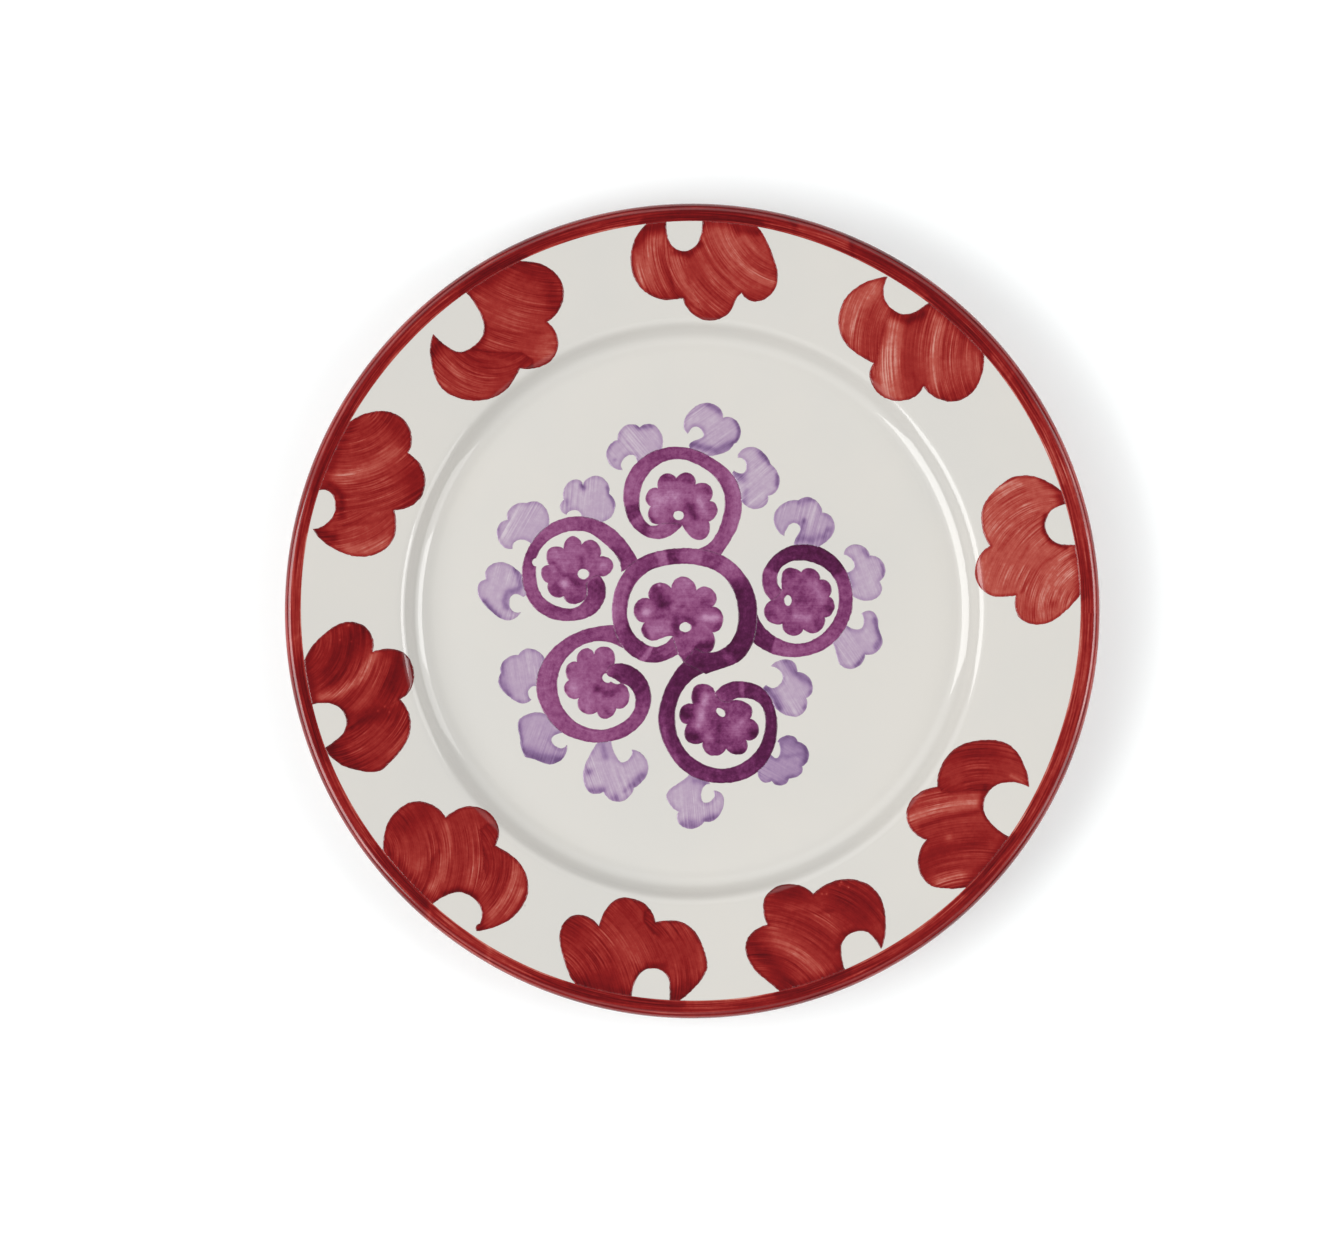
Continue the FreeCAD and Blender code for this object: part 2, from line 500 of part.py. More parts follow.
# ---------------------------------------------------------------- lilac leaves
# Counter-clockwise round the well from the top. Base under the scroll, lobes, notch.
LILAC_LEAVES = [
    [
        [(-0.4, 56), (3.8, 58.2), (2.6, 60.8), (-1.5, 59)],
        [(-2.8, 61.6), (0.2, 67.2), (5, 69.2), (8.9, 67.6), (10.3, 64.3)],
        [(13.6, 64.1), (16.1, 60.4), (13.9, 55.7)],
        [(12.2, 53.6), (9, 52.2), (4.5, 51.4)],
        [(0, 53)],
    ],
    [
        [(-10.3, 58.8), (-13, 61.9), (-17.5, 61)],
        [(-20.6, 62.1), (-23.9, 60), (-24.7, 56.8)],
        [(-27.4, 55.2), (-28.5, 51.6), (-26, 47.8), (-23.1, 46.9)],
        [(-23.3, 50), (-20.4, 52), (-18.2, 49)],
        [(-10.6, 53.4)],
    ],
    [
        [(-27.6, 30.8), (-25.6, 34.4), (-27.7, 39)],
        [(-28.2, 42.6), (-31.6, 44.9), (-34.8, 44), (-36.3, 41.6)],
        [(-37.4, 43.4), (-39.4, 43.6), (-42.4, 40.9), (-42.6, 37)],
        [(-43.9, 34.7), (-41.8, 32.1)],
        [(-40.4, 33.4), (-38.2, 33.5), (-36.8, 30.6)],
        [(-30.5, 29.6)],
    ],
    [
        [(-47.7, 31.6), (-50.2, 35.6), (-55, 35.8)],
        [(-59.3, 35.1), (-61.4, 32.4), (-61.2, 30.3)],
        [(-64.6, 27.8), (-64.3, 23.4), (-59.8, 20.7)],
        [(-58.9, 23.1), (-56.2, 23.8), (-53.2, 21.8)],
        [(-48, 27.8)],
    ],
    [
        [(-59.2, 14.4), (-63.8, 16.2), (-68, 14.4), (-68.5, 10.6)],
        [(-71.4, 7.4), (-70, 3.4), (-66.8, 0), (-62.4, -2.9), (-57, -0.4)],
        [(-60.6, 1.2), (-60.4, 4.6), (-56.2, 4.8)],
        [(-55, 5.6)],
        [(-55.4, 10)],
    ],
    [
        [(-52, -13), (-54.6, -12.5), (-57.8, -14.7)],
        [(-61.4, -15.6), (-63.5, -18), (-63.5, -20.6)],
        [(-64.4, -23.4), (-60.4, -28.8), (-56.6, -30.7), (-53.5, -29.5)],
        [(-54.4, -26.3), (-50.8, -25.2)],
        [(-49, -16)],
    ],
    [
        [(-44.6, -40.7), (-46.9, -42.6), (-45, -45.4), (-41.7, -44.7)],
        [(-42.7, -48.5), (-46.4, -50.9), (-51, -49.9), (-55.3, -48.7)],
        [(-56.8, -45.4), (-57.4, -41.4), (-57.7, -36.8), (-53.4, -34), (-48, -35)],
        [(-42.6, -40.4)],
    ],
    [
        [(-34.4, -48.6), (-36.2, -55), (-34.4, -60), (-29.6, -60.1)],
        [(-27.8, -62.2), (-24.6, -63.4), (-21, -61.8), (-19.5, -58.8)],
        [(-16.4, -56.4), (-14.6, -52.2), (-16.6, -47.7), (-20, -46.2)],
        [(-21, -49.3), (-23.2, -50.4), (-25.8, -47.6), (-27, -42.9)],
        [(-31, -43)],
    ],
    [
        [(-5.4, -57.9), (-8.5, -61.4), (-7, -64.8), (-4.5, -66.7)],
        [(-4.5, -70.4), (-1.6, -72.3), (1.8, -71.9), (4, -70)],
        [(7.6, -69.3), (10.2, -65.6), (10, -61.2), (7, -59.8)],
        [(6.6, -63), (4, -63.8), (3, -60.6), (5.9, -57.5)],
        [(5, -56)],
        [(-1, -54.6)],
    ],
    [
        [(28.6, -48.8), (29.4, -45.8), (28.4, -43.3)],
        [(31, -41.6), (33.7, -41.7), (35, -43.5)],
        [(37.6, -44.8), (38.8, -47.8), (36.4, -51.7)],
        [(36.3, -54), (34.6, -55.2), (32.2, -55.7)],
        [(30.6, -57.7), (26.5, -56.3)],
        [(24, -57), (22.2, -55.4), (22.9, -51.6)],
        [(26, -47.6)],
    ],
    [
        [(28.4, -25.2), (30.2, -22.2), (28.8, -19.3), (26.2, -18.4)],
        [(28.8, -16.6), (32, -16.2), (35, -20.3)],
        [(38.8, -22.2), (40.1, -25.4), (37.9, -29)],
        [(38.1, -31.8), (35.6, -34.8), (31.6, -34.7), (27.4, -31.6)],
        [(23.6, -25.6)],
        [(24.6, -24.6)],
    ],
    [
        [(53.4, -6), (56.2, -6), (57.2, -3.2), (56.4, -0.8)],
        [(60.6, -0.7), (61.8, -3.4), (62.2, -6.4), (63.3, -9.6), (61.6, -13.3), (57.5, -14.4)],
        [(56.4, -17.2), (52.8, -19.2), (49.4, -17.9), (48, -14), (46.6, -10.4)],
        [(51, -4.3)],
    ],
    [
        [(54.6, 4.4), (58.6, 3.5), (62.4, 5.4), (62.3, 9.9)],
        [(64.2, 13.4), (63.2, 16.5), (59, 18.3)],
        [(57.2, 21.3), (54, 22.2), (50.5, 18.8)],
        [(53.2, 17.2), (54, 14.4), (52.4, 13), (50.2, 13.4)],
        [(52.6, 6)],
    ],
    [
        [(34.6, 24.3), (36.1, 27.6), (34, 29.4), (31.4, 27.4), (30.6, 25)],
        [(28, 27.7), (27.3, 32), (30.6, 35.8), (35.4, 36.8)],
        [(39.2, 37.7), (41.8, 36), (43.3, 32.7)],
        [(46.4, 31), (47.4, 28), (44.9, 23.4), (40.6, 21)],
        [(34.4, 21)],
    ],
    [
        [(18, 46.9), (17.6, 50), (15.2, 51)],
        [(16.2, 53.2), (20.4, 54.5), (24.6, 51.6), (26.2, 48.5)],
        [(28.9, 44.7), (28.6, 41), (25.2, 38.3)],
        [(24.6, 35.6), (21, 34), (17.4, 35.5), (15.6, 39.8)],
        [(13.4, 45.8)],
        [(13.9, 46.6)],
    ],
]


# ---------------------------------------------------------------- assembly
def build():
    """Every node of the plate, by name."""
    nodes = {
        "clay_body": make_clay(),
        "glaze_face": make_face_glaze(),
        "glaze_base": make_base_glaze(),
    }

    disc = band_edge()
    film = coat_between(top_edges(GLAZE), top_edges(GLAZE + PAINT))
    nodes["rim_band"] = make_band(disc)
    for number, (angle, stretches) in enumerate(RIM_LEAVES, start=1):
        nodes["rim_leaf_%02d" % number] = make_leaf(angle, stretches, disc, film)

    flowers = {}
    for name, stretches in FLOWERS:
        flower = outline(stretches, well_spot)
        flowers[name] = beside(flower, [eye_face(*EYES[name])])
        nodes[name] = flat_mark(flowers[name])

    ring = beside(outline(CENTRE_RING, well_spot), [flowers["centre_flower"]])
    nodes["centre_ring"] = flat_mark(ring)
    strokes = [ring]
    for name, stretches in SCROLLS:
        flower = flowers[name.replace("scroll", "scroll_flower")]
        stroke = beside(outline(stretches, well_spot), [flower, ring, flowers["centre_flower"]])
        strokes.append(stroke)
        nodes[name] = flat_mark(stroke)

    for number, stretches in enumerate(LILAC_LEAVES, start=1):
        leaf = beside(outline(stretches, well_spot), strokes)
        nodes["lilac_leaf_%02d" % number] = flat_mark(leaf)
    return nodes


os.makedirs("parts", exist_ok=True)
for node_name, shape in build().items():
    shape.exportStep("parts/%s.step" % node_name)
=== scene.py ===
import math

import bpy
import numpy as np
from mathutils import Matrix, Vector
from mathutils.geometry import delaunay_2d_cdt


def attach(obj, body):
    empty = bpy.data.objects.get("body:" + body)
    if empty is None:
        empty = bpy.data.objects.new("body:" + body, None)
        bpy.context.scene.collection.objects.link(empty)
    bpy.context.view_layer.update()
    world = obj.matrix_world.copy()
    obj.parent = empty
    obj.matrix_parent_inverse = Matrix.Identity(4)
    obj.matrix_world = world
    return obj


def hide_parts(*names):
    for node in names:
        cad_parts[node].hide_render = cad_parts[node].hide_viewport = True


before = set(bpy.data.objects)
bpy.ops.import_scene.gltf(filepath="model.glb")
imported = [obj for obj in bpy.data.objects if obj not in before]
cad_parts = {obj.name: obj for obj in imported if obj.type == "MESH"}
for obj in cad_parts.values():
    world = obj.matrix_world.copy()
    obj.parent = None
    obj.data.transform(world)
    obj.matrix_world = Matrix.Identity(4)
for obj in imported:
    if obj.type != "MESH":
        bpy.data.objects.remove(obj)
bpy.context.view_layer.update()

MM = 0.001

# ------ section of the plate (mm)
OUTER, WELL = 135.0, 85.9
BODY, FOOT_HIGH, FOOT_WIDE, FOOT_FILLET, WIPED = 5.0, 3.1, 5.0, 1.2, 1.3
CORNER, SHOULDER, GLAZE, PAINT = 10.4, 5.6, 0.35, 0.15
WALL_SLOPE, RIM_SLOPE, UNDER_SLOPE = 55.2, 9.0, 40.0
BAND_WIDE, BAND_UNDER = 6.0, 3.0
FLOOR, LIP, FOOT = FOOT_HIGH + BODY, BODY / 2, WELL - 1.9
LIP_STEPS = 26
# The ware is uneven inside EVEN_TO; the unevenness dies out over the last EVEN_OVER of it.
EVEN_TO, EVEN_OVER = 131.0, 8.0
# Outlines nearer than TOUCH meet. They are spread by SPREAD, and the paint reaches SUNK into the glaze.
TOUCH, SPREAD, SUNK = 0.12, 0.1, 0.05
# Radii: outlines meet the lip band beyond BAND_FROM, leaf roots lie beyond LEAF_ROOT, and the places
# in a leaf are measured inward from LEAF_TOP.
BAND_FROM, LEAF_ROOT, LEAF_TOP = 128.2, 128.3, 129.5
# Distance given where no bare glaze is near, and the width over which a layer of paint rounds up.
FAR, CROWN_WIDE = 9.0, 0.9
GLAZE_IOR = 1.55


def across(slope):
    """Unit vector square to the slope, to its left; the slope is in degrees."""
    a = math.radians(slope)
    return np.array([-math.sin(a), math.cos(a)])


def along(slope):
    a = math.radians(slope)
    return np.array([math.cos(a), math.sin(a)])


C_CORNER = np.array([WELL, FLOOR + CORNER])
C_SHOULDER = C_CORNER - across(WALL_SLOPE) * (CORNER + SHOULDER)
C_LIP = C_SHOULDER + across(RIM_SLOPE) * (SHOULDER - LIP)
REACH = OUTER - PAINT - GLAZE - LIP - C_LIP[0]
C_LIP = C_LIP + along(RIM_SLOPE) * (REACH / math.cos(math.radians(RIM_SLOPE)))
UNDER = CORNER + BODY
TURN = math.cos(math.radians(UNDER_SLOPE - RIM_SLOPE))
EASE = (UNDER * TURN - (C_CORNER - C_LIP) @ across(RIM_SLOPE) - LIP) / (1 - TURN)
C_UNDER = C_CORNER - across(UNDER_SLOPE) * (UNDER + EASE)


def bow(centre, radius, a, b, steps):
    """Points of an arc, from where its slope is a to where it is b."""
    return [centre + across(a + (b - a) * i / steps) * radius for i in range(steps + 1)]


def run(points, steps):
    """Points of a straight stretch, without its first one."""
    a, b = points
    return [a + (b - a) * i / steps for i in range(1, steps + 1)]


def face_section(coat, fine=1.0, flat=(40, 16)):
    """The glazed side of the section: axis, well, rim, lip, underside, foot ring."""
    n = lambda k: max(2, int(k * fine))
    corner = bow(C_CORNER, coat - CORNER, 0, WALL_SLOPE, n(24))
    shoulder = bow(C_SHOULDER, SHOULDER + coat, WALL_SLOPE, RIM_SLOPE, n(18))
    lip = bow(C_LIP, LIP + coat, RIM_SLOPE, RIM_SLOPE - 180, n(LIP_STEPS))
    ease = bow(C_UNDER, EASE - coat, RIM_SLOPE, UNDER_SLOPE, n(8))
    under = bow(C_CORNER, -UNDER - coat, UNDER_SLOPE, 0, n(10))
    hollow = np.array([FOOT + FOOT_FILLET, FOOT_HIGH - FOOT_FILLET])
    fillet = bow(hollow, FOOT_FILLET - coat, 0, 90, n(5))
    path = [np.array([0.0, FLOOR + coat])]
    path += run((path[0], corner[0]), flat[0])[:-1] + corner
    path += shoulder[1:]
    path += run((shoulder[-1], lip[0]), flat[1])[:-1] + lip
    path += run((lip[-1], ease[0]), n(3))[:-1] + ease + under[1:] + fillet
    path.append(np.array([FOOT + coat, WIPED]))
    return np.array(path)


def base_section(coat):
    """The glazed side of the section inside the foot ring."""
    inner = FOOT - FOOT_WIDE
    hollow = np.array([inner - FOOT_FILLET, FOOT_HIGH - FOOT_FILLET])
    fillet = bow(hollow, FOOT_FILLET - coat, -90, 0, 5)
    path = [np.array([inner - coat, WIPED])] + fillet
    path += run((fillet[-1], np.array([0.0, FOOT_HIGH - coat])), 3)
    return np.array(path)


TOP = face_section(GLAZE, 3.0)
TOP = TOP[: int(np.argmax(TOP[:, 0]))]


def top_z(r):
    """Height of the glazed upper face at radius r, mm."""
    return np.interp(r, TOP[:, 0], TOP[:, 1])


def wobble(x, y):
    """Gentle unevenness of thrown and dipped ware, mm. It dies out before the lip."""
    w = np.sin(x / 17.0 + 1.1 * np.sin(y / 23.0)) * np.sin(y / 19.0 + 0.7 * np.sin(x / 29.0) + 0.8)
    w += 0.5 * np.sin(x / 7.9 + 2.0 + np.sin(y / 13.0)) * np.sin(y / 9.1 + 1.3)
    return 0.035 * w * np.clip((EVEN_TO - np.hypot(x, y)) / EVEN_OVER, 0, 1)


# ------ mesh helpers
def new_object(name, verts, faces, node, material, attributes=None, smooth=None):
    mesh = bpy.data.meshes.new(name)
    mesh.from_pydata((np.asarray(verts) * MM).tolist(), [], faces)
    for key, data in (attributes or {}).items():
        data = np.asarray(data, dtype=np.float32)
        kind = "FLOAT_VECTOR" if data.ndim == 2 else "FLOAT"
        layer = mesh.attributes.new(key, kind, "POINT")
        layer.data.foreach_set("vector" if data.ndim == 2 else "value", data.ravel())
    mesh.polygons.foreach_set("use_smooth", smooth or [True] * len(mesh.polygons))
    mesh.update()
    piece = bpy.data.objects.new(name, mesh)
    bpy.context.scene.collection.objects.link(piece)
    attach(piece, "root")
    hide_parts(node)
    mesh.materials.append(material)


def border_edges(faces):
    """Directed edges that only one face has."""
    seen = {}
    for face in faces:
        for a, b in zip(face, face[1:] + face[:1]):
            if (b, a) in seen:
                del seen[(b, a)]
            else:
                seen[(a, b)] = True
    return list(seen)


def ring_faces(rings):
    """Faces from each ring of vertices to the next, and from the last to the first."""
    faces = []
    for low, high in zip(rings, rings[1:] + rings[:1]):
        for k in range(len(low)):
            j = (k + 1) % len(low)
            quad = [low[k], low[j], high[j], high[k]]
            face = [v for i, v in enumerate(quad) if v not in quad[:i]]
            if len(face) > 2:
                faces.append(face)
    return faces


def lathe(section, count):
    """Vertices and faces of a closed section turned round Z. A point on the axis is one vertex."""
    verts, rings = [], []
    for r, z in section:
        if r < 1e-6:
            rings.append([len(verts)] * count)
            verts.append((0.0, 0.0, z))
            continue
        rings.append(list(range(len(verts), len(verts) + count)))
        for k in range(count):
            t = 2 * math.pi * k / count
            verts.append((r * math.cos(t), r * math.sin(t), z))
    return np.array(verts), ring_faces(rings)


# ------ materials
def srgb(r, g, b):
    out = []
    for c in (r, g, b):
        c /= 255.0
        out.append(c / 12.92 if c <= 0.04045 else ((c + 0.055) / 1.055) ** 2.4)
    return (*out, 1.0)


class Nodes:
    """The node tree of a new material or world, built by short calls."""

    def __init__(self, owner, output="ShaderNodeOutputMaterial"):
        self.owner = owner
        owner.use_nodes = True
        self.tree = owner.node_tree
        self.tree.nodes.clear()
        self.out = self.add(output)

    def add(self, kind, **settings):
        node = self.tree.nodes.new(kind)
        for key, value in settings.items():
            setattr(node, key, value)
        return node

    def put(self, socket, value):
        if isinstance(value, bpy.types.NodeSocket):
            self.tree.links.new(value, socket)
        else:
            socket.default_value = value

    def math(self, operation, a, b=0.0, c=0.0, clamp=False):
        node = self.add("ShaderNodeMath", operation=operation, use_clamp=clamp)
        for socket, value in zip(node.inputs, (a, b, c)):
            self.put(socket, value)
        return node.outputs[0]

    def swing(self, noise, amount, start=0.0):
        """Moves a value by up to the amount either way, as a noise goes from 0 to 1."""
        return self.math("MULTIPLY_ADD", self.math("SUBTRACT", noise, 0.5), 2 * amount, start)

    def span(self, value, low, high, to_low=0.0, to_high=1.0):
        node = self.add("ShaderNodeMapRange", interpolation_type="SMOOTHSTEP")
        for socket, v in zip(node.inputs, (value, low, high, to_low, to_high)):
            self.put(socket, v)
        return node.outputs[0]

    def attribute(self, name):
        return self.add("ShaderNodeAttribute", attribute_name=name)

    def split(self, vector):
        node = self.add("ShaderNodeSeparateXYZ")
        self.put(node.inputs[0], vector)
        return node.outputs

    def join(self, x, y, z):
        node = self.add("ShaderNodeCombineXYZ")
        for socket, value in zip(node.inputs, (x, y, z)):
            self.put(socket, value)
        return node.outputs[0]

    def noise(self, vector, scale, detail=2.0, rough=0.5):
        node = self.add("ShaderNodeTexNoise")
        self.put(node.inputs["Vector"], vector)
        self.put(node.inputs["Scale"], scale)
        self.put(node.inputs["Detail"], detail)
        self.put(node.inputs["Roughness"], rough)
        return node.outputs["Fac"]

    def ramp(self, value, stops):
        node = self.add("ShaderNodeValToRGB")
        elements = node.color_ramp.elements
        while len(elements) > 1:
            elements.remove(elements[-1])
        elements[0].position, elements[0].color = stops[0]
        for position, colour in stops[1:]:
            element = elements.new(position)
            element.color = colour
        self.put(node.inputs[0], value)
        return node.outputs[0]

    def mix(self, factor, a, b):
        node = self.add("ShaderNodeMix", data_type="RGBA")
        self.put(node.inputs[0], factor)
        self.put(node.inputs[6], a)
        self.put(node.inputs[7], b)
        return node.outputs[2]

    def bump(self, height, distance, strength=1.0):
        node = self.add("ShaderNodeBump")
        self.put(node.inputs["Strength"], strength)
        self.put(node.inputs["Distance"], distance)
        self.put(node.inputs["Height"], height)
        return node.outputs[0]

    def surface(self, colour, roughness, normal=None, **plain):
        node = self.add("ShaderNodeBsdfPrincipled")
        self.put(node.inputs["Base Color"], colour)
        self.put(node.inputs["Roughness"], roughness)
        for key, value in plain.items():
            node.inputs[key.replace("_", " ")].default_value = value
        if normal is not None:
            self.put(node.inputs["Normal"], normal)
        self.put(self.out.inputs["Surface"], node.outputs[0])
        return self.owner

    def place(self):
        return self.add("ShaderNodeTexCoord").outputs["Object"]


def glaze_bump(n, place):
    """The faint waviness and orange peel of a poured glaze."""
    wave = n.noise(place, 55.0, 1.0, 0.4)
    peel = n.noise(place, 420.0, 2.0, 0.5)
    height = n.math("MULTIPLY_ADD", peel, 0.06, wave)
    return n.bump(height, 0.00005)


def white_glaze():
    n = Nodes(bpy.data.materials.new("white_glaze"))
    place = n.place()
    cloud = n.noise(place, 18.0, 3.0, 0.55)
    colour = n.mix(n.span(cloud, 0.3, 0.7), WHITE_COOL, WHITE_WARM)
    speck = n.add("ShaderNodeTexVoronoi", feature="F1")
    n.put(speck.inputs["Vector"], place)
    n.put(speck.inputs["Scale"], 55.0)
    chosen = n.math("GREATER_THAN", n.split(speck.outputs["Color"])[0], 0.93)
    dot = n.math("MULTIPLY", n.span(speck.outputs["Distance"], 0.012, 0.028, 1.0, 0.0), chosen)
    colour = n.mix(n.math("MULTIPLY", dot, 0.35), colour, srgb(150, 146, 136))
    return n.surface(colour, 0.035, glaze_bump(n, place), IOR=GLAZE_IOR)


RED = [
    (0.0, (92, 8, 14)), (0.2, (118, 14, 18)), (0.4, (141, 25, 25)), (0.6, (164, 50, 44)),
    (0.8, (189, 88, 76)), (1.0, (218, 152, 139))]
PURPLE = [
    (0.0, (72, 20, 56)), (0.17, (92, 31, 75)), (0.36, (121, 53, 102)), (0.52, (146, 80, 126)),
    (0.72, (166, 106, 149)), (0.95, (192, 142, 178))]
LILAC = [
    (0.0, (112, 82, 126)), (0.25, (145, 115, 156)), (0.5, (171, 144, 177)), (0.72, (191, 169, 192)),
    (1.0, (216, 203, 213))]
WHITE_COOL, WHITE_WARM = srgb(206, 204, 199), srgb(209, 206, 200)
LIGHT_LEVEL = 1.2
FLOOR_LIFT = 0.09
KEY, ROOM = 4.5, 1.03


def inks(stops):
    """Ramp stops, with the studio's light level taken out of the colours seen."""
    return [(at, (*(c / LIGHT_LEVEL for c in srgb(*rgb)[:3]), 1.0)) for at, rgb in stops]


def brushwork(name, stops, hairs=0.36, streak=0.16, stroke=0.11, mottle=0.17,
              outline=0.2, outline_wide=1.3, feather=0.12):
    """Brushed colour from the mesh's own attributes: streaks along the stroke, darker pooled edge."""
    n = Nodes(bpy.data.materials.new(name))
    place = n.place()
    u, v, d = n.split(n.attribute("brush").outputs["Vector"])
    tone = n.attribute("tone").outputs["Fac"]
    seed = n.attribute("seed").outputs["Fac"]
    bend = n.math("MULTIPLY", n.noise(place, 70.0, 1.0), 2.5)
    bent = n.math("ADD", v, bend)

    def lines(side, along_scale, side_scale, detail, rough):
        x, y = n.math("MULTIPLY", u, along_scale), n.math("MULTIPLY", side, side_scale)
        return n.noise(n.join(x, y, seed), 1.0, detail, rough)

    hair = lines(v, 0.05, 1.9, 2.0, 0.7)
    fine = lines(bent, 0.03, 0.85, 2.0, 0.6)
    broad = lines(bent, 0.03, 0.24, 1.0, 0.5)
    blot = n.noise(place, 480.0, 4.0, 0.72)
    dry = n.span(n.noise(place, 95.0, 1.0), 0.35, 0.65, 0.35, 1.5)
    bristles = n.swing(hair, hairs, n.swing(fine, streak))
    t = n.math("MULTIPLY_ADD", bristles, dry, tone)
    t = n.swing(blot, mottle, n.swing(broad, stroke, t))
    t = n.math("MULTIPLY_ADD", n.span(d, 0.25, outline_wide, 1.0, 0.0), -outline, t)
    t = n.math("MULTIPLY_ADD", n.span(d, 0.03, 0.26, 1.0, 0.0), feather, t, clamp=True)
    colour = n.ramp(t, inks(stops))
    return n.surface(colour, 0.045, glaze_bump(n, place), IOR=GLAZE_IOR)


# ------ glaze coats
def solid_coat(outer, inner):
    return np.vstack([outer, inner[::-1]])


def uneven(verts):
    """Lifts the upper face by the ware's unevenness; the lip and underside stay."""
    r = np.hypot(verts[:, 0], verts[:, 1])
    top = verts[:, 2] > top_z(np.minimum(r, TOP[-1, 0])) - 0.1
    verts[:, 2] += np.where(top, wobble(verts[:, 0], verts[:, 1]), 0.0)
    return verts


WHITE = white_glaze()
verts, faces = lathe(solid_coat(face_section(GLAZE, 0.9), face_section(0.0, 0.3, (3, 2))), 540)
new_object("face_glaze_coat", uneven(verts), faces, "glaze_face", WHITE)
verts, faces = lathe(solid_coat(base_section(GLAZE), base_section(0.0)), 360)
new_object("base_glaze_coat", verts, faces, "glaze_base", WHITE)


# ------ brushed marks
def loops_of(node):
    """Closed outlines, in mm, of the painted face of a CAD mark."""
    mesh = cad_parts[node].data
    co = np.array([v.co for v in mesh.vertices]) / MM
    painted = [poly for poly in mesh.polygons if poly.normal.z >= 0.5]
    faces = [[tuple(np.round(co[i], 4)) for i in poly.vertices] for poly in painted]
    after = dict(border_edges(faces))
    loops = []
    while after:
        start, b = after.popitem()
        loop = [start]
        while b != start:
            loop.append(b)
            b = after.pop(b)
        loops.append(np.array(loop)[:, :2])
    return sorted(loops, key=lambda p: -abs(area(p)))


def area(p):
    x, y = p[:, 0], p[:, 1]
    return 0.5 * float(np.sum(x * np.roll(y, -1) - y * np.roll(x, -1)))


def resample(loop, step):
    """Even points along a closed outline; sharp corners keep their own point."""
    d = np.diff(np.vstack([loop, loop[:1]]), axis=0)
    length = np.hypot(d[:, 0], d[:, 1])
    heading = np.arctan2(d[:, 1], d[:, 0])
    turn = np.abs((heading - np.roll(heading, 1) + math.pi) % (2 * math.pi) - math.pi)
    corners = [i for i in range(len(loop)) if turn[i] > 0.5] or [0]
    out = []
    for k, a in enumerate(corners):
        b = corners[(k + 1) % len(corners)]
        ids = list(range(a, b + 1)) if b > a else list(range(a, len(loop))) + list(range(0, b + 1))
        part = loop[ids]
        s = np.concatenate([[0], np.cumsum(np.hypot(*np.diff(part, axis=0).T))])
        count = max(1, int(round(s[-1] / step)))
        at = np.linspace(0, s[-1], count + 1)[:-1]
        out += list(zip(np.interp(at, s, part[:, 0]), np.interp(at, s, part[:, 1])))
    return np.array(out)


def segment_distance(points, a, b):
    """Nearest segment to each point: distance, place along it 0..1, number, side (left positive)."""
    best = np.full(len(points), 1e9)
    place, side = np.zeros(len(points)), np.zeros(len(points))
    number = np.zeros(len(points), dtype=int)
    for start in range(0, len(points), 3000):
        block = slice(start, start + 3000)
        p = points[block, None, :]
        ab = (b - a)[None]
        t = np.clip(((p - a[None]) * ab).sum(2) / np.maximum((ab ** 2).sum(2), 1e-12), 0, 1)
        off = p - a[None] - ab * t[..., None]
        gap = np.hypot(off[..., 0], off[..., 1])
        k = gap.argmin(1)
        row = np.arange(len(k))
        best[block], place[block], number[block] = gap[row, k], t[row, k], k
        w = points[block] - a[k]
        c = (b - a)[k]
        side[block] = np.sign(c[:, 0] * w[:, 1] - c[:, 1] * w[:, 0])
    return best, place, number, side


def segments(loops):
    """Start and end points of all the segments of closed outlines."""
    return np.vstack(loops), np.vstack([np.roll(loop, -1, axis=0) for loop in loops])


def edge_distance(points, loops):
    """Distance from each point to the nearest outline, mm."""
    return segment_distance(points, *segments(loops))[0]


def inside(points, loops):
    """Even-odd test of points against all the outlines."""
    hit = np.zeros(len(points), dtype=bool)
    x, y = points[:, 0], points[:, 1]
    for loop in loops:
        for (x0, y0), (x1, y1) in zip(loop, np.roll(loop, -1, axis=0)):
            if y0 == y1:
                continue
            cross = (y0 > y) != (y1 > y)
            hit ^= cross & (x < (x1 - x0) * (y - y0) / (y1 - y0) + x0)
    return hit


PREFIXES = ("rim_leaf", "lilac_leaf", "centre_", "scroll_")
MARKS = [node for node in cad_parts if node.startswith(PREFIXES)]
OUTLINES = {node: loops_of(node) for node in MARKS}


def touching(node, points):
    """Which points on a mark's outline meet another mark or the lip band."""
    low, high = points.min(0) - 1, points.max(0) + 1
    near = [p for other in MARKS if other != node for p in OUTLINES[other]
            if (p.min(0) < high).all() and (p.max(0) > low).all()]
    gap = edge_distance(points, near) if near else np.full(len(points), FAR)
    return (gap < TOUCH) | (np.hypot(points[:, 0], points[:, 1]) > BAND_FROM)


def free_edges(node):
    """Segments of a mark's outline that face bare glaze."""
    a, b = segments(OUTLINES[node])
    keep = ~touching(node, (a + b) / 2)
    return a[keep], b[keep]


def blob(xy, path, wide, amount):
    """A soft dab or sweep of colour along a few points."""
    path = np.array(path, dtype=float).reshape(-1, 2)
    ends = path if len(path) == 1 else path[1:]
    d = segment_distance(xy, path[:len(ends)], ends)[0]
    return amount * np.exp(-(d / wide) ** 2)


def dabbed(xy, dabs, lighter=1.0, darker=1.0):
    """All the dabs together, the lighter and the darker ones each times a factor."""
    return sum(blob(xy, path, wide, amount * (lighter if amount > 0 else darker))
               for path, wide, amount in dabs)


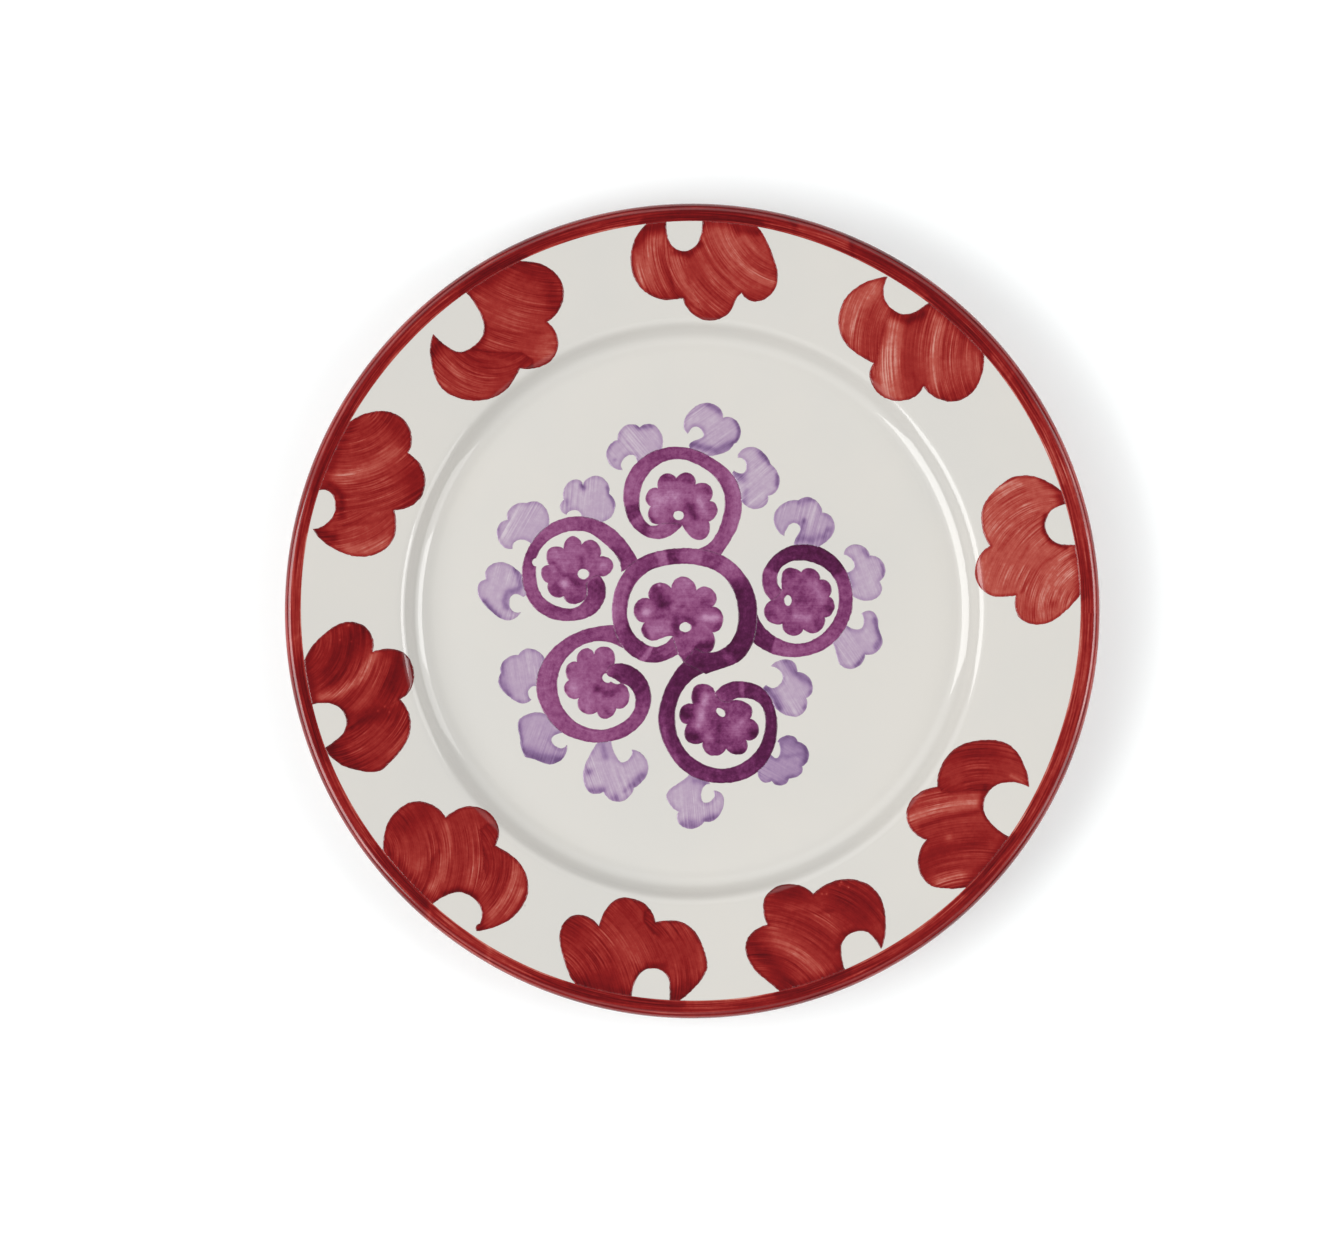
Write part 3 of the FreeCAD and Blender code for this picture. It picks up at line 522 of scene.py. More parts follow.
def overlap(xy, path, wide, amount):
    """Edge of a second stroke over the first: it starts sharply, left of the path, and fades out."""
    path = np.array(path, dtype=float)
    d, _, _, side = segment_distance(xy, path[:-1], path[1:])
    signed = d * side
    fade = np.exp(-np.maximum(signed, 0) / wide) * np.clip(signed / 0.5 + 0.5, 0, 1)
    return 1.3 * amount * fade + 0.6 * amount * np.exp(-(d / 0.45) ** 2)


def grown(node, loop, step, number):
    """Spreads an outline, so that neighbours overlap, and roughens it where it meets bare glaze."""
    heading = np.roll(loop, -1, axis=0) - np.roll(loop, 1, axis=0)
    heading /= np.maximum(np.hypot(heading[:, 0], heading[:, 1]), 1e-9)[:, None]
    rng = np.random.default_rng(MARKS.index(node) + 100 * number)
    at = np.arange(len(loop)) * step
    rough = sum(np.interp(at / size, np.arange(400), rng.normal(size=400)) * share
                for size, share in ((2.4, 0.035), (0.8, 0.05)))
    spread = SPREAD + np.where(touching(node, loop), 0.0, np.clip(rough, -0.11, 0.13))
    return loop + spread[:, None] * np.column_stack([heading[:, 1], -heading[:, 0]])


def patch(node, step):
    """Fine triangulated patch of a mark: points, triangles, distance to bare glaze."""
    fine = step * 0.8
    loops = [grown(node, resample(p, fine), fine, i) for i, p in enumerate(OUTLINES[node])]
    low, high = loops[0].min(0), loops[0].max(0)
    rows = []
    for j, y in enumerate(np.arange(low[1], high[1], step * 0.866)):
        xs = np.arange(low[0] + (j % 2) * step / 2, high[0], step)
        rows.append(np.column_stack([xs, np.full(len(xs), y)]))
    grid = np.vstack(rows)
    grid = grid[inside(grid, loops)]
    grid = grid[edge_distance(grid, loops) > step * 0.45]
    points, edges = [], []
    for loop in loops:
        first = len(points)
        points += [tuple(p) for p in loop]
        edges += [(first + i, first + (i + 1) % len(loop)) for i in range(len(loop))]
    points += [tuple(p) for p in grid]
    verts, _, faces, _, _, _ = delaunay_2d_cdt([Vector(p) for p in points], edges, [], 0, 1e-7)
    xy = np.array([(p.x, p.y) for p in verts])
    faces = np.array([f for f in faces], dtype=int)
    middle = xy[faces].mean(1)
    faces = faces[inside(middle, loops)]
    a, b, c = xy[faces[:, 0]], xy[faces[:, 1]], xy[faces[:, 2]]
    signed = (b - a)[:, 0] * (c - a)[:, 1] - (b - a)[:, 1] * (c - a)[:, 0]
    faces = np.where(signed[:, None] > 0, faces, faces[:, ::-1])
    used = np.unique(faces)
    lookup = np.full(len(xy), -1)
    lookup[used] = np.arange(len(used))
    xy, faces = xy[used], lookup[faces]
    bare = segment_distance(xy, *free_edges(node))[0]
    fringe = (bare < 3 * SPREAD) & ~inside(xy, OUTLINES[node])
    return xy, faces, np.maximum(SPREAD + np.where(fringe, -bare, bare), 0.0)


def crown(bare, edge, high):
    """Rise of a brushed layer over the glaze: low at a bare edge, rounding up to its full height."""
    return edge + high * np.clip(bare / CROWN_WIDE, 0, 1) ** 0.7


def mark(node, material, shade, step, seed):
    """A thin closed solid of colour on the glaze, with its brush attributes."""
    xy, faces, bare = patch(node, step)
    r = np.hypot(xy[:, 0], xy[:, 1])
    ground = top_z(r) + wobble(xy[:, 0], xy[:, 1])
    upper = np.column_stack([xy, ground + crown(bare, 0.014, 0.026)])
    lower = np.column_stack([xy, ground - SUNK])
    count = len(xy)
    skirt = [(a, a + count, b + count, b) for a, b in border_edges(faces.tolist())]
    solid = faces.tolist() + (faces[:, ::-1] + count).tolist() + skirt
    u, v, tone = shade(xy)
    brush = np.column_stack([u, v, bare])
    data = {"brush": np.tile(brush, (2, 1)), "tone": np.tile(tone, 2), "seed": np.full(2 * count, seed)}
    smooth = [True] * (2 * len(faces)) + [False] * len(skirt)
    new_object(node + "_paint", np.vstack([upper, lower]), solid, node, material, data, smooth)


# ------ red leaves
# Each leaf: angle on the rim, pivots of the curved strokes left and right of a seam, the seam, base tone,
# then its dabs and its overlaps: place or places, width in mm, change of tone (0 dark, 1 light).
# Places are mm in the leaf's own frame: x along the rim, y inward from the band.
LEAVES = [
    (9, (-22, -5), (-8, 8), [(4, 27), (10, 19), (14, 11)], 0.74, [
        ((-18, 18.5), 3.0, -0.12), ((-16.5, 11), 1.3, -0.2), ([(-14, 14), (-6, 4)], 2.6, 0.1),
        ([(-9, 26), (-2, 21), (4, 16)], 0.6, -0.13), ([(-11, 21), (-3, 13), (1, 4)], 0.6, -0.14),
        ([(4, 26), (10, 19), (14, 11)], 0.6, -0.14), ([(10, 28), (16, 28)], 3.0, 0.06),
        ([(24, 25), (25.2, 16)], 0.9, 0.14), ([(1.5, 4), (4, 8.5), (8, 10.4), (13, 9.2)], 0.9, -0.4),
        ([(25, 8), (20, 4), (16, 3)], 1.5, -0.28), ([(-8, 31), (0, 32)], 2.5, 0.05)], []),
    (50, (-38, -12), (-12, 5), [(3.5, 31), (8, 24), (13, 13)], 0.63, [
        ([(-3, 32), (2, 26), (6, 18), (11, 13)], 3.6, 0.2), ([(-1, 31), (4, 25), (8, 18)], 1.4, 0.08),
        ([(-13, 20), (-7, 14), (-1, 3)], 1.8, 0.16), ([(-12, 25), (-3, 21), (3, 14), (5, 8)], 3.2, -0.16),
        ([(-19, 22), (-23, 14)], 2.6, -0.17), ([(9, 26), (12, 18)], 2.4, -0.08),
        ([(21, 24), (24, 17), (22, 9)], 3.2, 0.2), ([(5, 5), (7, 10), (12, 11.5)], 1.5, -0.42),
        ((-16, 9), 3.5, 0.06), ([(-10, 12), (-5, 4)], 0.6, -0.12)], [
        ([(3.5, 31), (8, 24), (13, 13)], 3.0, -0.1)]),
    (88, (-30, -6), (-12, 7), [(0, 30), (4, 22), (7, 11)], 0.6, [
        ([(-20, 24), (-14, 25)], 2.4, -0.17), ([(-7, 32.5), (1, 32.5)], 2.6, -0.14),
        ([(9, 26), (16, 26)], 3.2, -0.17), ([(-20, 20), (-11, 14), (-4, 4)], 3.2, 0.1),
        ([(2, 28), (7, 21), (9, 12)], 1.5, 0.16), ([(20, 20), (18, 8)], 2.8, 0.12), ((-12, 7), 4.0, 0.08),
        ([(-10, 22), (-3, 15), (2, 8)], 0.7, -0.12), ([(1.5, 8), (5, 11.6), (10, 11)], 1.1, -0.32),
        ([(23, 9), (19, 4), (14, 3)], 1.7, -0.32), ([(-17, 4), (-11, 3)], 1.2, -0.26)], [
        ([(4.5, 29), (9.5, 24), (12, 14)], 2.0, -0.12)]),
    (126, (-50, -15), (-4, 12), [(-4.5, 33.6), (-6.2, 31), (-4.6, 27), (2, 22), (7, 17)], 0.54, [
        ([(-23, 21), (-27, 12), (-22, 6)], 3.2, -0.22), ((-12, 31), 4.6, 0.16),
        ([(1, 27), (7, 20), (9, 16)], 1.1, 0.14), ([(13, 30), (17, 24), (17, 14)], 1.8, 0.14),
        ([(22, 26), (23, 18)], 1.2, 0.1), ((-8, 17), 6.0, 0.06), ([(15, 8), (19, 10)], 1.7, -0.34),
        ([(-0.5, 12), (3, 16.5), (8, 17)], 0.9, -0.22), ((-10, 3), 3.0, -0.1),
        ([(-14, 26), (-6, 20), (-1, 15)], 0.7, -0.12)], [
        ([(-4.5, 33.6), (-6.2, 31), (-4.6, 27), (2, 22), (7, 17)], 4.5, -0.2)]),
    (158, (-25, -6), (-5, -5), [(5, 27), (9, 20), (12, 11)], 0.54, [
        ([(-7, 28), (-1, 31)], 4.6, -0.22), ([(-22, 12), (-17, 21)], 3.2, -0.17),
        ([(-12, 18), (-4, 13), (2, 6), (4, 2)], 2.6, 0.18), ([(17, 27), (22, 21), (24, 17)], 2.6, 0.22),
        ([(10, 24), (16, 16)], 3.5, 0.08), ([(6, 3), (8, 7.5), (14, 9.8)], 1.4, -0.34),
        ([(22, 5), (22, 10)], 1.7, -0.34), ([(5, 27), (12, 21), (17, 12)], 0.7, -0.12),
        ([(-20, 8), (-12, 4)], 3.0, -0.08)], []),
    (194, (-24, -3), (-8, 5), [(5, 29), (7, 20), (7, 11)], 0.43, [
        ([(-20, 21), (-15, 14), (-9, 8)], 3.8, -0.26), ([(-7, 32), (0, 27)], 4.2, -0.28),
        ([(-12, 24), (-5, 18), (-2, 10), (-2, 3)], 1.7, 0.34), ([(-8, 27), (0, 20), (4, 14)], 1.6, 0.2),
        ([(8, 23), (8.5, 14)], 2.4, -0.26), ((16, 19), 4.5, 0.08), ([(17, 27), (22, 21)], 1.6, 0.14),
        ([(15, 3), (23, 9)], 2.6, -0.26), ((-22, 10), 2.4, 0.1),
        ([(1, 5), (4, 9.5), (10, 10.5)], 1.0, -0.2), ((6, 23), 0.4, 0.4), ((7, 20.5), 0.35, 0.4),
        ((8.2, 24), 0.35, 0.35), ((-23, 18), 0.45, 0.5), ((-17.5, 17.5), 0.35, 0.35),
        ((-19, 14), 0.35, 0.35)], []),
    (228, (-28, -5), (-5, 12), [(0.5, 33.8), (-3.4, 31.6), (-3.6, 28.5), (1, 24.5), (6, 20), (9, 12)], 0.51, [
        ([(-22, 21), (-24, 12)], 3.8, -0.17), ([(-13, 22), (-7, 16), (-3, 8), (-3, 2)], 1.6, 0.22),
        ([(2, 21), (6, 13)], 1.4, 0.18), ([(13, 28), (18, 20), (18, 10)], 1.4, 0.24),
        ([(20, 23), (21.5, 14)], 1.0, 0.2), ((-11, 6), 2.8, 0.12),
        ([(1.5, 5), (4.5, 9.5), (10, 11.2)], 1.1, -0.3), ((18, 5), 1.5, -0.3), ((-8, 30), 3.5, -0.06),
        ([(-9, 14), (-8, 4)], 0.8, -0.12)], [
        ([(0.5, 33.8), (-3.4, 31.6), (-3.6, 28.5), (1, 24.5), (6, 20)], 4.0, -0.16)]),
    (260, (-32, -10), (-8, 3), [(4.4, 31), (1.6, 28.5), (2.2, 25.2), (6, 22), (10, 14)], 0.48, [
        ((-21, 20), 4.6, -0.2), ([(-2, 18), (2, 14)], 4.2, 0.12), ([(-9, 20), (2, 12)], 1.4, 0.08),
        ([(22, 21), (23.5, 13)], 1.3, 0.16), ([(16, 4), (21, 7)], 2.4, -0.26),
        ([(-13, 3), (-6, 4)], 2.8, -0.17), ([(3, 7), (6, 11.5), (11, 12)], 0.9, -0.24),
        ([(-13, 13), (-9, 5)], 0.7, -0.1), ((-4, 31), 3.5, -0.08)], [
        ([(4.4, 31), (1.6, 28.5), (2.2, 25.2), (6, 22)], 3.2, -0.22)]),
    (291, (-28, -5), (-6, 5), [(3, 28), (6, 21), (9, 13)], 0.47, [
        ([(-21, 19), (-18, 12), (-15, 5)], 3.0, -0.28), ([(-13, 20), (-8, 12), (-3, 3)], 2.8, 0.22),
        ([(1, 22), (6, 16)], 2.4, 0.1), ([(-6, 27), (-2, 24)], 1.2, 0.13),
        ([(-6, 31), (-1, 30)], 3.8, -0.24), ([(13, 24), (17, 17)], 6.0, -0.22), ((18, 6), 2.0, -0.15),
        ([(-4, 24.5), (2, 21.5), (8, 20)], 0.6, -0.14), ((14, 28), 0.4, 0.6), ((13, 27), 0.35, 0.5),
        ((15.5, 25.5), 0.35, 0.4), ((6.5, 26.6), 0.35, 0.4), ((8, 26), 0.35, 0.4),
        ([(4.5, 8), (7.5, 11.5), (13, 12)], 0.9, -0.16)], []),
    (324, (-45, -20), (-6, 6), [(1.2, 30.4), (0.3, 27.6), (1.4, 24.8), (5, 21), (8, 17)], 0.53, [
        ([(-13, 30.5), (-5, 26), (1, 20), (4, 16.5)], 2.4, 0.3), ([(-23, 18), (-16, 16)], 3.6, -0.2),
        ([(-24, 11), (-18, 6)], 1.8, 0.2), ((-11, 16.5), 1.5, 0.2), ([(-12, 12), (-4, 7)], 2.8, -0.15),
        ([(-13, 26), (-5, 20), (2, 14)], 0.9, -0.2), ([(14, 29), (20, 22)], 4.5, -0.14),
        ([(18, 12), (18.6, 8)], 0.8, 0.22), ((6, 26), 3.0, 0.08),
        ([(2, 10), (4.5, 15), (10, 16.6)], 0.9, -0.22)], [
        ([(1.2, 30.4), (0.3, 27.6), (1.4, 24.8), (5, 21), (8, 17)], 5.0, -0.15)]),
]
RED_PAINT = brushwork("red_brushwork", RED)


def leaf_shade(angle, left, right, seam, base, dabs, overlaps):
    def shade(xy):
        local = np.column_stack([xy @ across(angle), LEAF_TOP - xy @ along(angle)])
        line = np.array(seam, dtype=float)
        later = segment_distance(local, line[:-1], line[1:])[3] > 0
        pivot = np.where(later[:, None], right, left)
        dx, dy = (local - pivot).T
        tone = base + dabbed(local, dabs)
        for path, wide, amount in overlaps:
            tone += overlap(local, path, wide, amount)
        tone -= 0.22 * np.exp(-(np.maximum(128.6 - np.hypot(xy[:, 0], xy[:, 1]), 0) / 1.6) ** 2)
        return np.arctan2(dy, dx) * 30.0, np.hypot(dx, dy) + 90.0 * later, tone
    return shade


for number, leaf in enumerate(LEAVES):
    node = "rim_leaf_%02d" % (number + 1)
    mark(node, RED_PAINT, leaf_shade(*leaf), 0.5, 3.7 * number)


# ------ purple ring, scrolls and flowers
# Strokes: places along the middle of the stroke, mm on the plate, each with the tone there.
STROKES = {
    "centre_ring": [
        (-5, -11, 0.45), (-9, -14, 0.38), (-12, -15.5, 0.25), (-14.2, -15.4, 0.28), (-14.7, -15, 0.62),
        (-15.7, -14.4, 0.62), (-16.2, -14, 0.3), (-19, -11.5, 0.2), (-22, -8, 0.32), (-24, -3, 0.5),
        (-24.3, 0, 0.58), (-24.6, 5, 0.52), (-23, 9.5, 0.5), (-20, 13.6, 0.48), (-17.5, 15.2, 0.34),
        (-15, 16.4, 0.28), (-12.2, 17.4, 0.34), (-11.4, 17.7, 0.6), (-8.8, 18.2, 0.56), (-7.8, 18.4, 0.2),
        (-5.6, 18.6, 0.2), (-3.5, 18.6, 0.42), (0, 18.6, 0.55), (3, 18.3, 0.58), (3.8, 18.1, 0.34),
        (7.5, 17, 0.3), (9, 16.3, 0.32), (10.2, 15.6, 0.5), (12.4, 14.2, 0.58), (14.5, 12, 0.46),
        (16, 9.4, 0.26), (17, 7, 0.12), (18, 0, 0.08), (18, -5, 0.1), (17, -9, 0.05), (14.2, -12.6, 0.03),
        (13, -14, 0.06), (12, -15, 0.26), (11.2, -15.6, 0.26), (10.5, -16, 0.1), (5, -17, 0.05),
        (-1, -18.5, 0.07)],
    "scroll_1": [
        (3, 18.8, 0.5), (7, 20, 0.5), (11.5, 25, 0.5), (13.6, 31, 0.52), (13.6, 37, 0.5), (12.3, 42, 0.5),
        (9, 47, 0.48), (5, 50.2, 0.42), (0, 52.2, 0.38), (-5, 52.8, 0.42), (-10, 51.8, 0.36),
        (-15, 48.8, 0.44), (-19, 44, 0.52), (-20.4, 40, 0.55), (-20.5, 37, 0.5), (-20.3, 35.6, 0.42),
        (-20.1, 34.8, 0.2), (-19.4, 32, 0.2), (-19, 31.2, 0.24), (-18.6, 30.6, 0.5), (-17.6, 29, 0.4),
        (-16.4, 27.3, 0.2), (-15.2, 26.5, 0.3), (-13.4, 25.9, 0.56), (-9, 26.6, 0.56), (-6, 28.5, 0.45)],
    "scroll_2": [
        (-20.5, 12, 0.42), (-22, 17, 0.32), (-24.5, 21, 0.4), (-28, 25, 0.5), (-33, 28, 0.4),
        (-38, 29.4, 0.45), (-43, 28.8, 0.5), (-48, 25.8, 0.52), (-51.5, 21.5, 0.4), (-53.2, 18, 0.28),
        (-54, 15, 0.42), (-54.5, 10, 0.52), (-53, 5, 0.45), (-50, 1.6, 0.45), (-46, -0.8, 0.4),
        (-41, -1.9, 0.46), (-36, -1, 0.42), (-33, 1.5, 0.36), (-31.5, 4, 0.26), (-31, 7, 0.18),
        (-31.6, 10, 0.2), (-33.5, 12.5, 0.34)],
    "scroll_3": [
        (-18, -12, 0.2), (-22, -8.6, 0.34), (-28, -7.2, 0.46), (-33, -7.6, 0.42), (-38, -9.6, 0.42),
        (-43, -13.5, 0.45), (-46.5, -18, 0.5), (-48, -24, 0.5), (-47.4, -29, 0.52), (-44.5, -35, 0.5),
        (-39, -39.5, 0.48), (-33, -41.3, 0.52), (-27, -41, 0.48), (-23, -39, 0.4), (-19, -35.5, 0.45),
        (-17, -31.5, 0.36), (-16.3, -28, 0.24), (-17.5, -24.5, 0.13), (-20.5, -20.8, 0.12),
        (-24.5, -19.5, 0.12), (-27, -19.4, 0.26), (-28.5, -20, 0.34)],
    "scroll_4": [
        (1, -17.6, 0.06), (-4, -22, 0.08), (-7, -27, 0.13), (-8.3, -33, 0.18), (-8, -39, 0.17),
        (-6, -44.5, 0.2), (-2.5, -49.5, 0.22), (2, -52.8, 0.18), (8, -54.4, 0.2), (13.6, -53.9, 0.17),
        (14.6, -53.7, 0.18), (15.4, -53.4, 0.3), (19.5, -51, 0.22), (23.5, -47, 0.12), (25.7, -41, 0.1),
        (26, -35, 0.12), (25, -30, 0.15), (21.5, -26.6, 0.2), (18.8, -25.7, 0.12), (17.6, -25.7, 0.15),
        (17.1, -25.7, 0.42), (16, -25.9, 0.42), (15.4, -26, 0.2), (12.5, -27, 0.2), (10, -29, 0.34)],
    "scroll_5": [
        (18.2, -5, 0.1), (21, -9, 0.15), (24.5, -11.8, 0.17), (26.2, -12.6, 0.2), (26.9, -12.8, 0.5),
        (30, -13, 0.54), (36, -13.2, 0.5), (42, -12, 0.48), (46.5, -9, 0.45), (49, -6, 0.4),
        (50.5, -2, 0.36), (51.3, 2, 0.38), (51.2, 6, 0.42), (50.3, 9.5, 0.38), (49, 12, 0.33),
        (48.5, 13, 0.1), (45, 16.3, 0.08), (40, 18.9, 0.07), (34, 19.4, 0.08), (29, 17.4, 0.13),
        (26.8, 15.2, 0.16), (26.1, 14.2, 0.2), (25.7, 13.4, 0.44), (25.5, 10, 0.35), (26, 7, 0.42),
        (28, 4.5, 0.45)],
}
STROKE_TOUCHES = [
    ([(-20.6, -7), (-21.8, -1), (-21.6, 5), (-18.5, 12)], 1.1, -0.24),
    ([(-26.4, -3), (-26.6, 3), (-24.6, 10)], 1.2, 0.08), ([(13.2, 10.5), (15.8, 5)], 1.6, -0.15),
    ([(12.5, 46), (15.4, 39), (15.4, 33), (13.4, 26)], 1.1, 0.14),
    ([(9.6, 44), (11.6, 38), (11.9, 33), (9.8, 27)], 1.0, -0.14),
    ([(-9.9, -36), (-8.6, -44), (-5, -50)], 1.0, 0.2),
    ([(-5.6, -31), (-5.8, -40), (-2.5, -47)], 1.3, -0.08), ([(-46, 0.8), (-41, 0)], 1.1, -0.12),
    ([(-26, 20.5), (-24, 17.5)], 1.2, -0.15), ([(0, -54), (6, -56)], 1.0, 0.12),
    ([(28, -10.8), (36, -11), (42, -9.6)], 0.9, -0.1), ([(-12, 28.2), (-10, 25)], 0.7, -0.1),
    ([(-44.8, -20), (-45.4, -28), (-42, -34)], 1.2, -0.08), ([(22, -48.8), (26, -43)], 1.2, -0.06)]
FLOWERS = {
    "centre_flower": (0.49, [
        ((-3, 9), 3.2, 0.16), ((4, 7.4), 2.6, 0.16), ((4.5, 3.6), 2.0, -0.16),
        ([(4, -2.2), (8, -2.2)], 1.3, 0.34), ((9.4, -0.2), 1.2, -0.22), ((8.6, -5.6), 1.6, -0.24),
        ([(6.6, -11.4), (2.5, -12.2)], 1.7, -0.34), ((2.6, -7.5), 2.0, 0.06),
        ([(-12.2, 6.4), (-10, 2.8)], 2.2, -0.36), ([(-9.6, 2.4), (-8, 2.6)], 1.1, -0.2),
        ((-13.8, 6.8), 0.9, 0.2), ((-15.2, -0.2), 1.5, 0.36), ((-18, 1.6), 1.6, -0.2),
        ((-18.3, -1.6), 1.0, -0.12), ([(-12, -2.2), (-9, -1.6)], 0.9, -0.2),
        ([(-13, -6.6), (-9, -6)], 2.0, 0.2), ([(-16.3, -6), (-14.8, -8.6)], 1.0, -0.26),
        ([(-5.6, -2.8), (-5.2, -8)], 1.2, -0.34), ([(-3, -2), (0, -3.2)], 1.0, -0.28),
        ((0.6, -4.6), 0.9, -0.3), ([(-3, -11), (-2, -14)], 2.2, -0.04), ((-6.4, 1.2), 1.8, 0.08),
        ((-3.5, -4.2), 0.3, -0.4), ((-11, 8.6), 0.45, 0.5)]),
    "scroll_flower_1": (0.54, [
        ([(-9.5, 44.6), (-7, 44)], 1.9, -0.24), ([(-3, 45.2), (-1, 44)], 1.9, -0.28),
        ((4.6, 40.6), 2.0, -0.2), ((7.4, 34), 1.3, -0.14), ([(-10, 37.4), (-6, 38)], 2.4, 0.2),
        ([(-13, 38), (-12, 33)], 2.0, 0.16), ((-15, 37), 0.9, -0.24),
        ([(-14.2, 31), (-12, 29.4)], 0.9, -0.28), ([(-0.8, 34.8), (0.8, 31.5)], 1.7, -0.34),
        ([(-6.6, 29.4), (-4.6, 28.6)], 1.3, -0.36), ([(2.4, 37.2), (3.4, 33.6)], 1.6, 0.18),
        ((0, 27), 2.6, 0.04), ((3, 25.4), 1.6, -0.1), ((-9.5, 40), 0.9, -0.12)]),
    "scroll_flower_2": (0.53, [
        ((-33.6, 21), 2.2, -0.12), ((-29.2, 14.8), 1.7, 0.14), ((-27.4, 15.4), 0.7, -0.16),
        ((-45.4, 18.6), 2.2, 0.1), ((-48.4, 13), 1.8, -0.1), ((-46.2, 14.4), 1.2, 0.14),
        ([(-45.8, 7.6), (-44.4, 6)], 1.7, -0.26), ([(-40.4, 4.6), (-37.4, 4.4)], 1.7, -0.26),
        ([(-40.6, 11.6), (-38, 8.8)], 1.5, -0.3), ((-42.2, 9.2), 1.4, 0.34),
        ([(-46.4, 16.2), (-42.6, 11.8)], 0.8, -0.2), ((-39.4, 21), 2.0, 0.04),
        ([(-36.6, 17.4), (-36.8, 14.4)], 0.9, -0.16), ((-41.6, 16.4), 2.2, 0.08)]),
    "scroll_flower_3": (0.56, [
        ((-36, -14.4), 1.4, -0.1), ((-41.4, -19.6), 1.3, -0.18), ((-39.4, -25.4), 2.2, 0.18),
        ((-41.8, -26), 0.7, -0.16), ((-35.6, -31), 2.2, 0.1), ((-36.4, -33.2), 0.8, -0.22),
        ((-28.6, -34), 1.4, -0.16), ((-23.6, -29), 1.6, 0.06), ((-21.6, -30.6), 1.0, -0.24),
        ([(-31.6, -25.8), (-29, -27), (-26.4, -27.2)], 1.5, -0.34), ((-28.6, -13), 1.1, -0.16),
        ((-33, -18), 2.6, -0.06), ((-31, -23.4), 1.4, -0.1)]),
    "scroll_flower_4": (0.4, [
        ([(-3.4, -34), (-1.4, -34.4)], 2.1, -0.4), ([(-1, -41.6), (1, -42)], 2.1, -0.4),
        ([(1.2, -26.6), (1.4, -30)], 1.4, -0.34), ((8, -46.4), 1.8, -0.12),
        ([(16.4, -47), (14.6, -47.4)], 1.5, -0.4), ((20.8, -41), 1.9, -0.42), ((17, -31.8), 1.9, -0.06),
        ([(4.6, -28.6), (3, -33), (2.4, -38)], 1.7, 0.32), ([(8.6, -37), (9, -43)], 1.6, -0.18),
        ([(14.6, -39.4), (16.6, -37)], 2.0, 0.2), ((5.4, -41.6), 1.6, 0.14), ((12.2, -35), 1.2, 0.1),
        ((13, -43), 1.4, -0.08), ((8, -27.6), 1.3, 0.12), ((3.6, -38.8), 0.6, -0.2)]),
    "scroll_flower_5": (0.42, [
        ((32.4, 13), 1.8, -0.24), ((39.6, 12.8), 1.8, -0.2), ((45, 8), 1.5, -0.2), ((46, 0.6), 1.9, -0.24),
        ((42, -5), 1.6, -0.16), ((34, -6.8), 1.4, -0.12), ((25.6, -1), 1.5, -0.14),
        ([(40, 9.2), (43.2, 4)], 1.8, 0.2), ([(34.6, -1.6), (38.6, -2.6)], 1.6, 0.24),
        ((28.6, 0.4), 1.0, 0.14), ((36.4, 4.4), 1.8, -0.12), ((33.6, 9), 2.0, 0.06),
        ((30, -3), 1.4, 0.06)]),
}
PURPLE_PAINT = brushwork("purple_brushwork", PURPLE, 0.08, 0.06, 0.08, 0.38, 0.08, 1.0, 0.22)
LILAC_PAINT = brushwork("lilac_brushwork", LILAC, 0.26, 0.12, 0.08, 0.18, 0.2, 1.8, 0.2)


def stroke_field(node):
    path = np.array(STROKES[node], dtype=float)
    middle = path[:, :2]
    length = np.concatenate([[0], np.cumsum(np.hypot(*np.diff(middle, axis=0).T))])

    def field(xy):
        d, t, k, side = segment_distance(xy, middle[:-1], middle[1:])
        u = length[k] + t * (length[k + 1] - length[k])
        return u, d * side, np.interp(u, length, path[:, 2]) + dabbed(xy, STROKE_TOUCHES)
    return field


def flower_field(node):
    base, dabs = FLOWERS[node]

    def field(xy):
        return xy[:, 0], xy[:, 1], base + dabbed(xy, dabs, lighter=1.3)
    return field


PURPLES = {node: stroke_field(node) for node in STROKES}
PURPLES.update({node: flower_field(node) for node in FLOWERS})


def flowing_shade(node):
    """A mark's own tone, running into its neighbour's where wet strokes meet."""
    a, b = segments(OUTLINES[node])

    def shade(xy):
        u, v, own = PURPLES[node](xy)
        total, weight = own.copy(), np.ones(len(xy))
        for other in PURPLES:
            if other == node:
                continue
            shared = edge_distance((a + b) / 2, OUTLINES[other]) < TOUCH
            if shared.any():
                gap = segment_distance(xy, a[shared], b[shared])[0]
                near = gap < 8
                w = np.zeros(len(xy))
                w[near] = np.exp(-gap[near] / 1.5)
                theirs = np.zeros(len(xy))
                theirs[near] = PURPLES[other](xy[near])[2]
                total, weight = total + w * theirs, weight + w
        return u, v, total / weight + 0.03
    return shade


for node in PURPLES:
    mark(node, PURPLE_PAINT, flowing_shade(node), 0.45, 5.0)


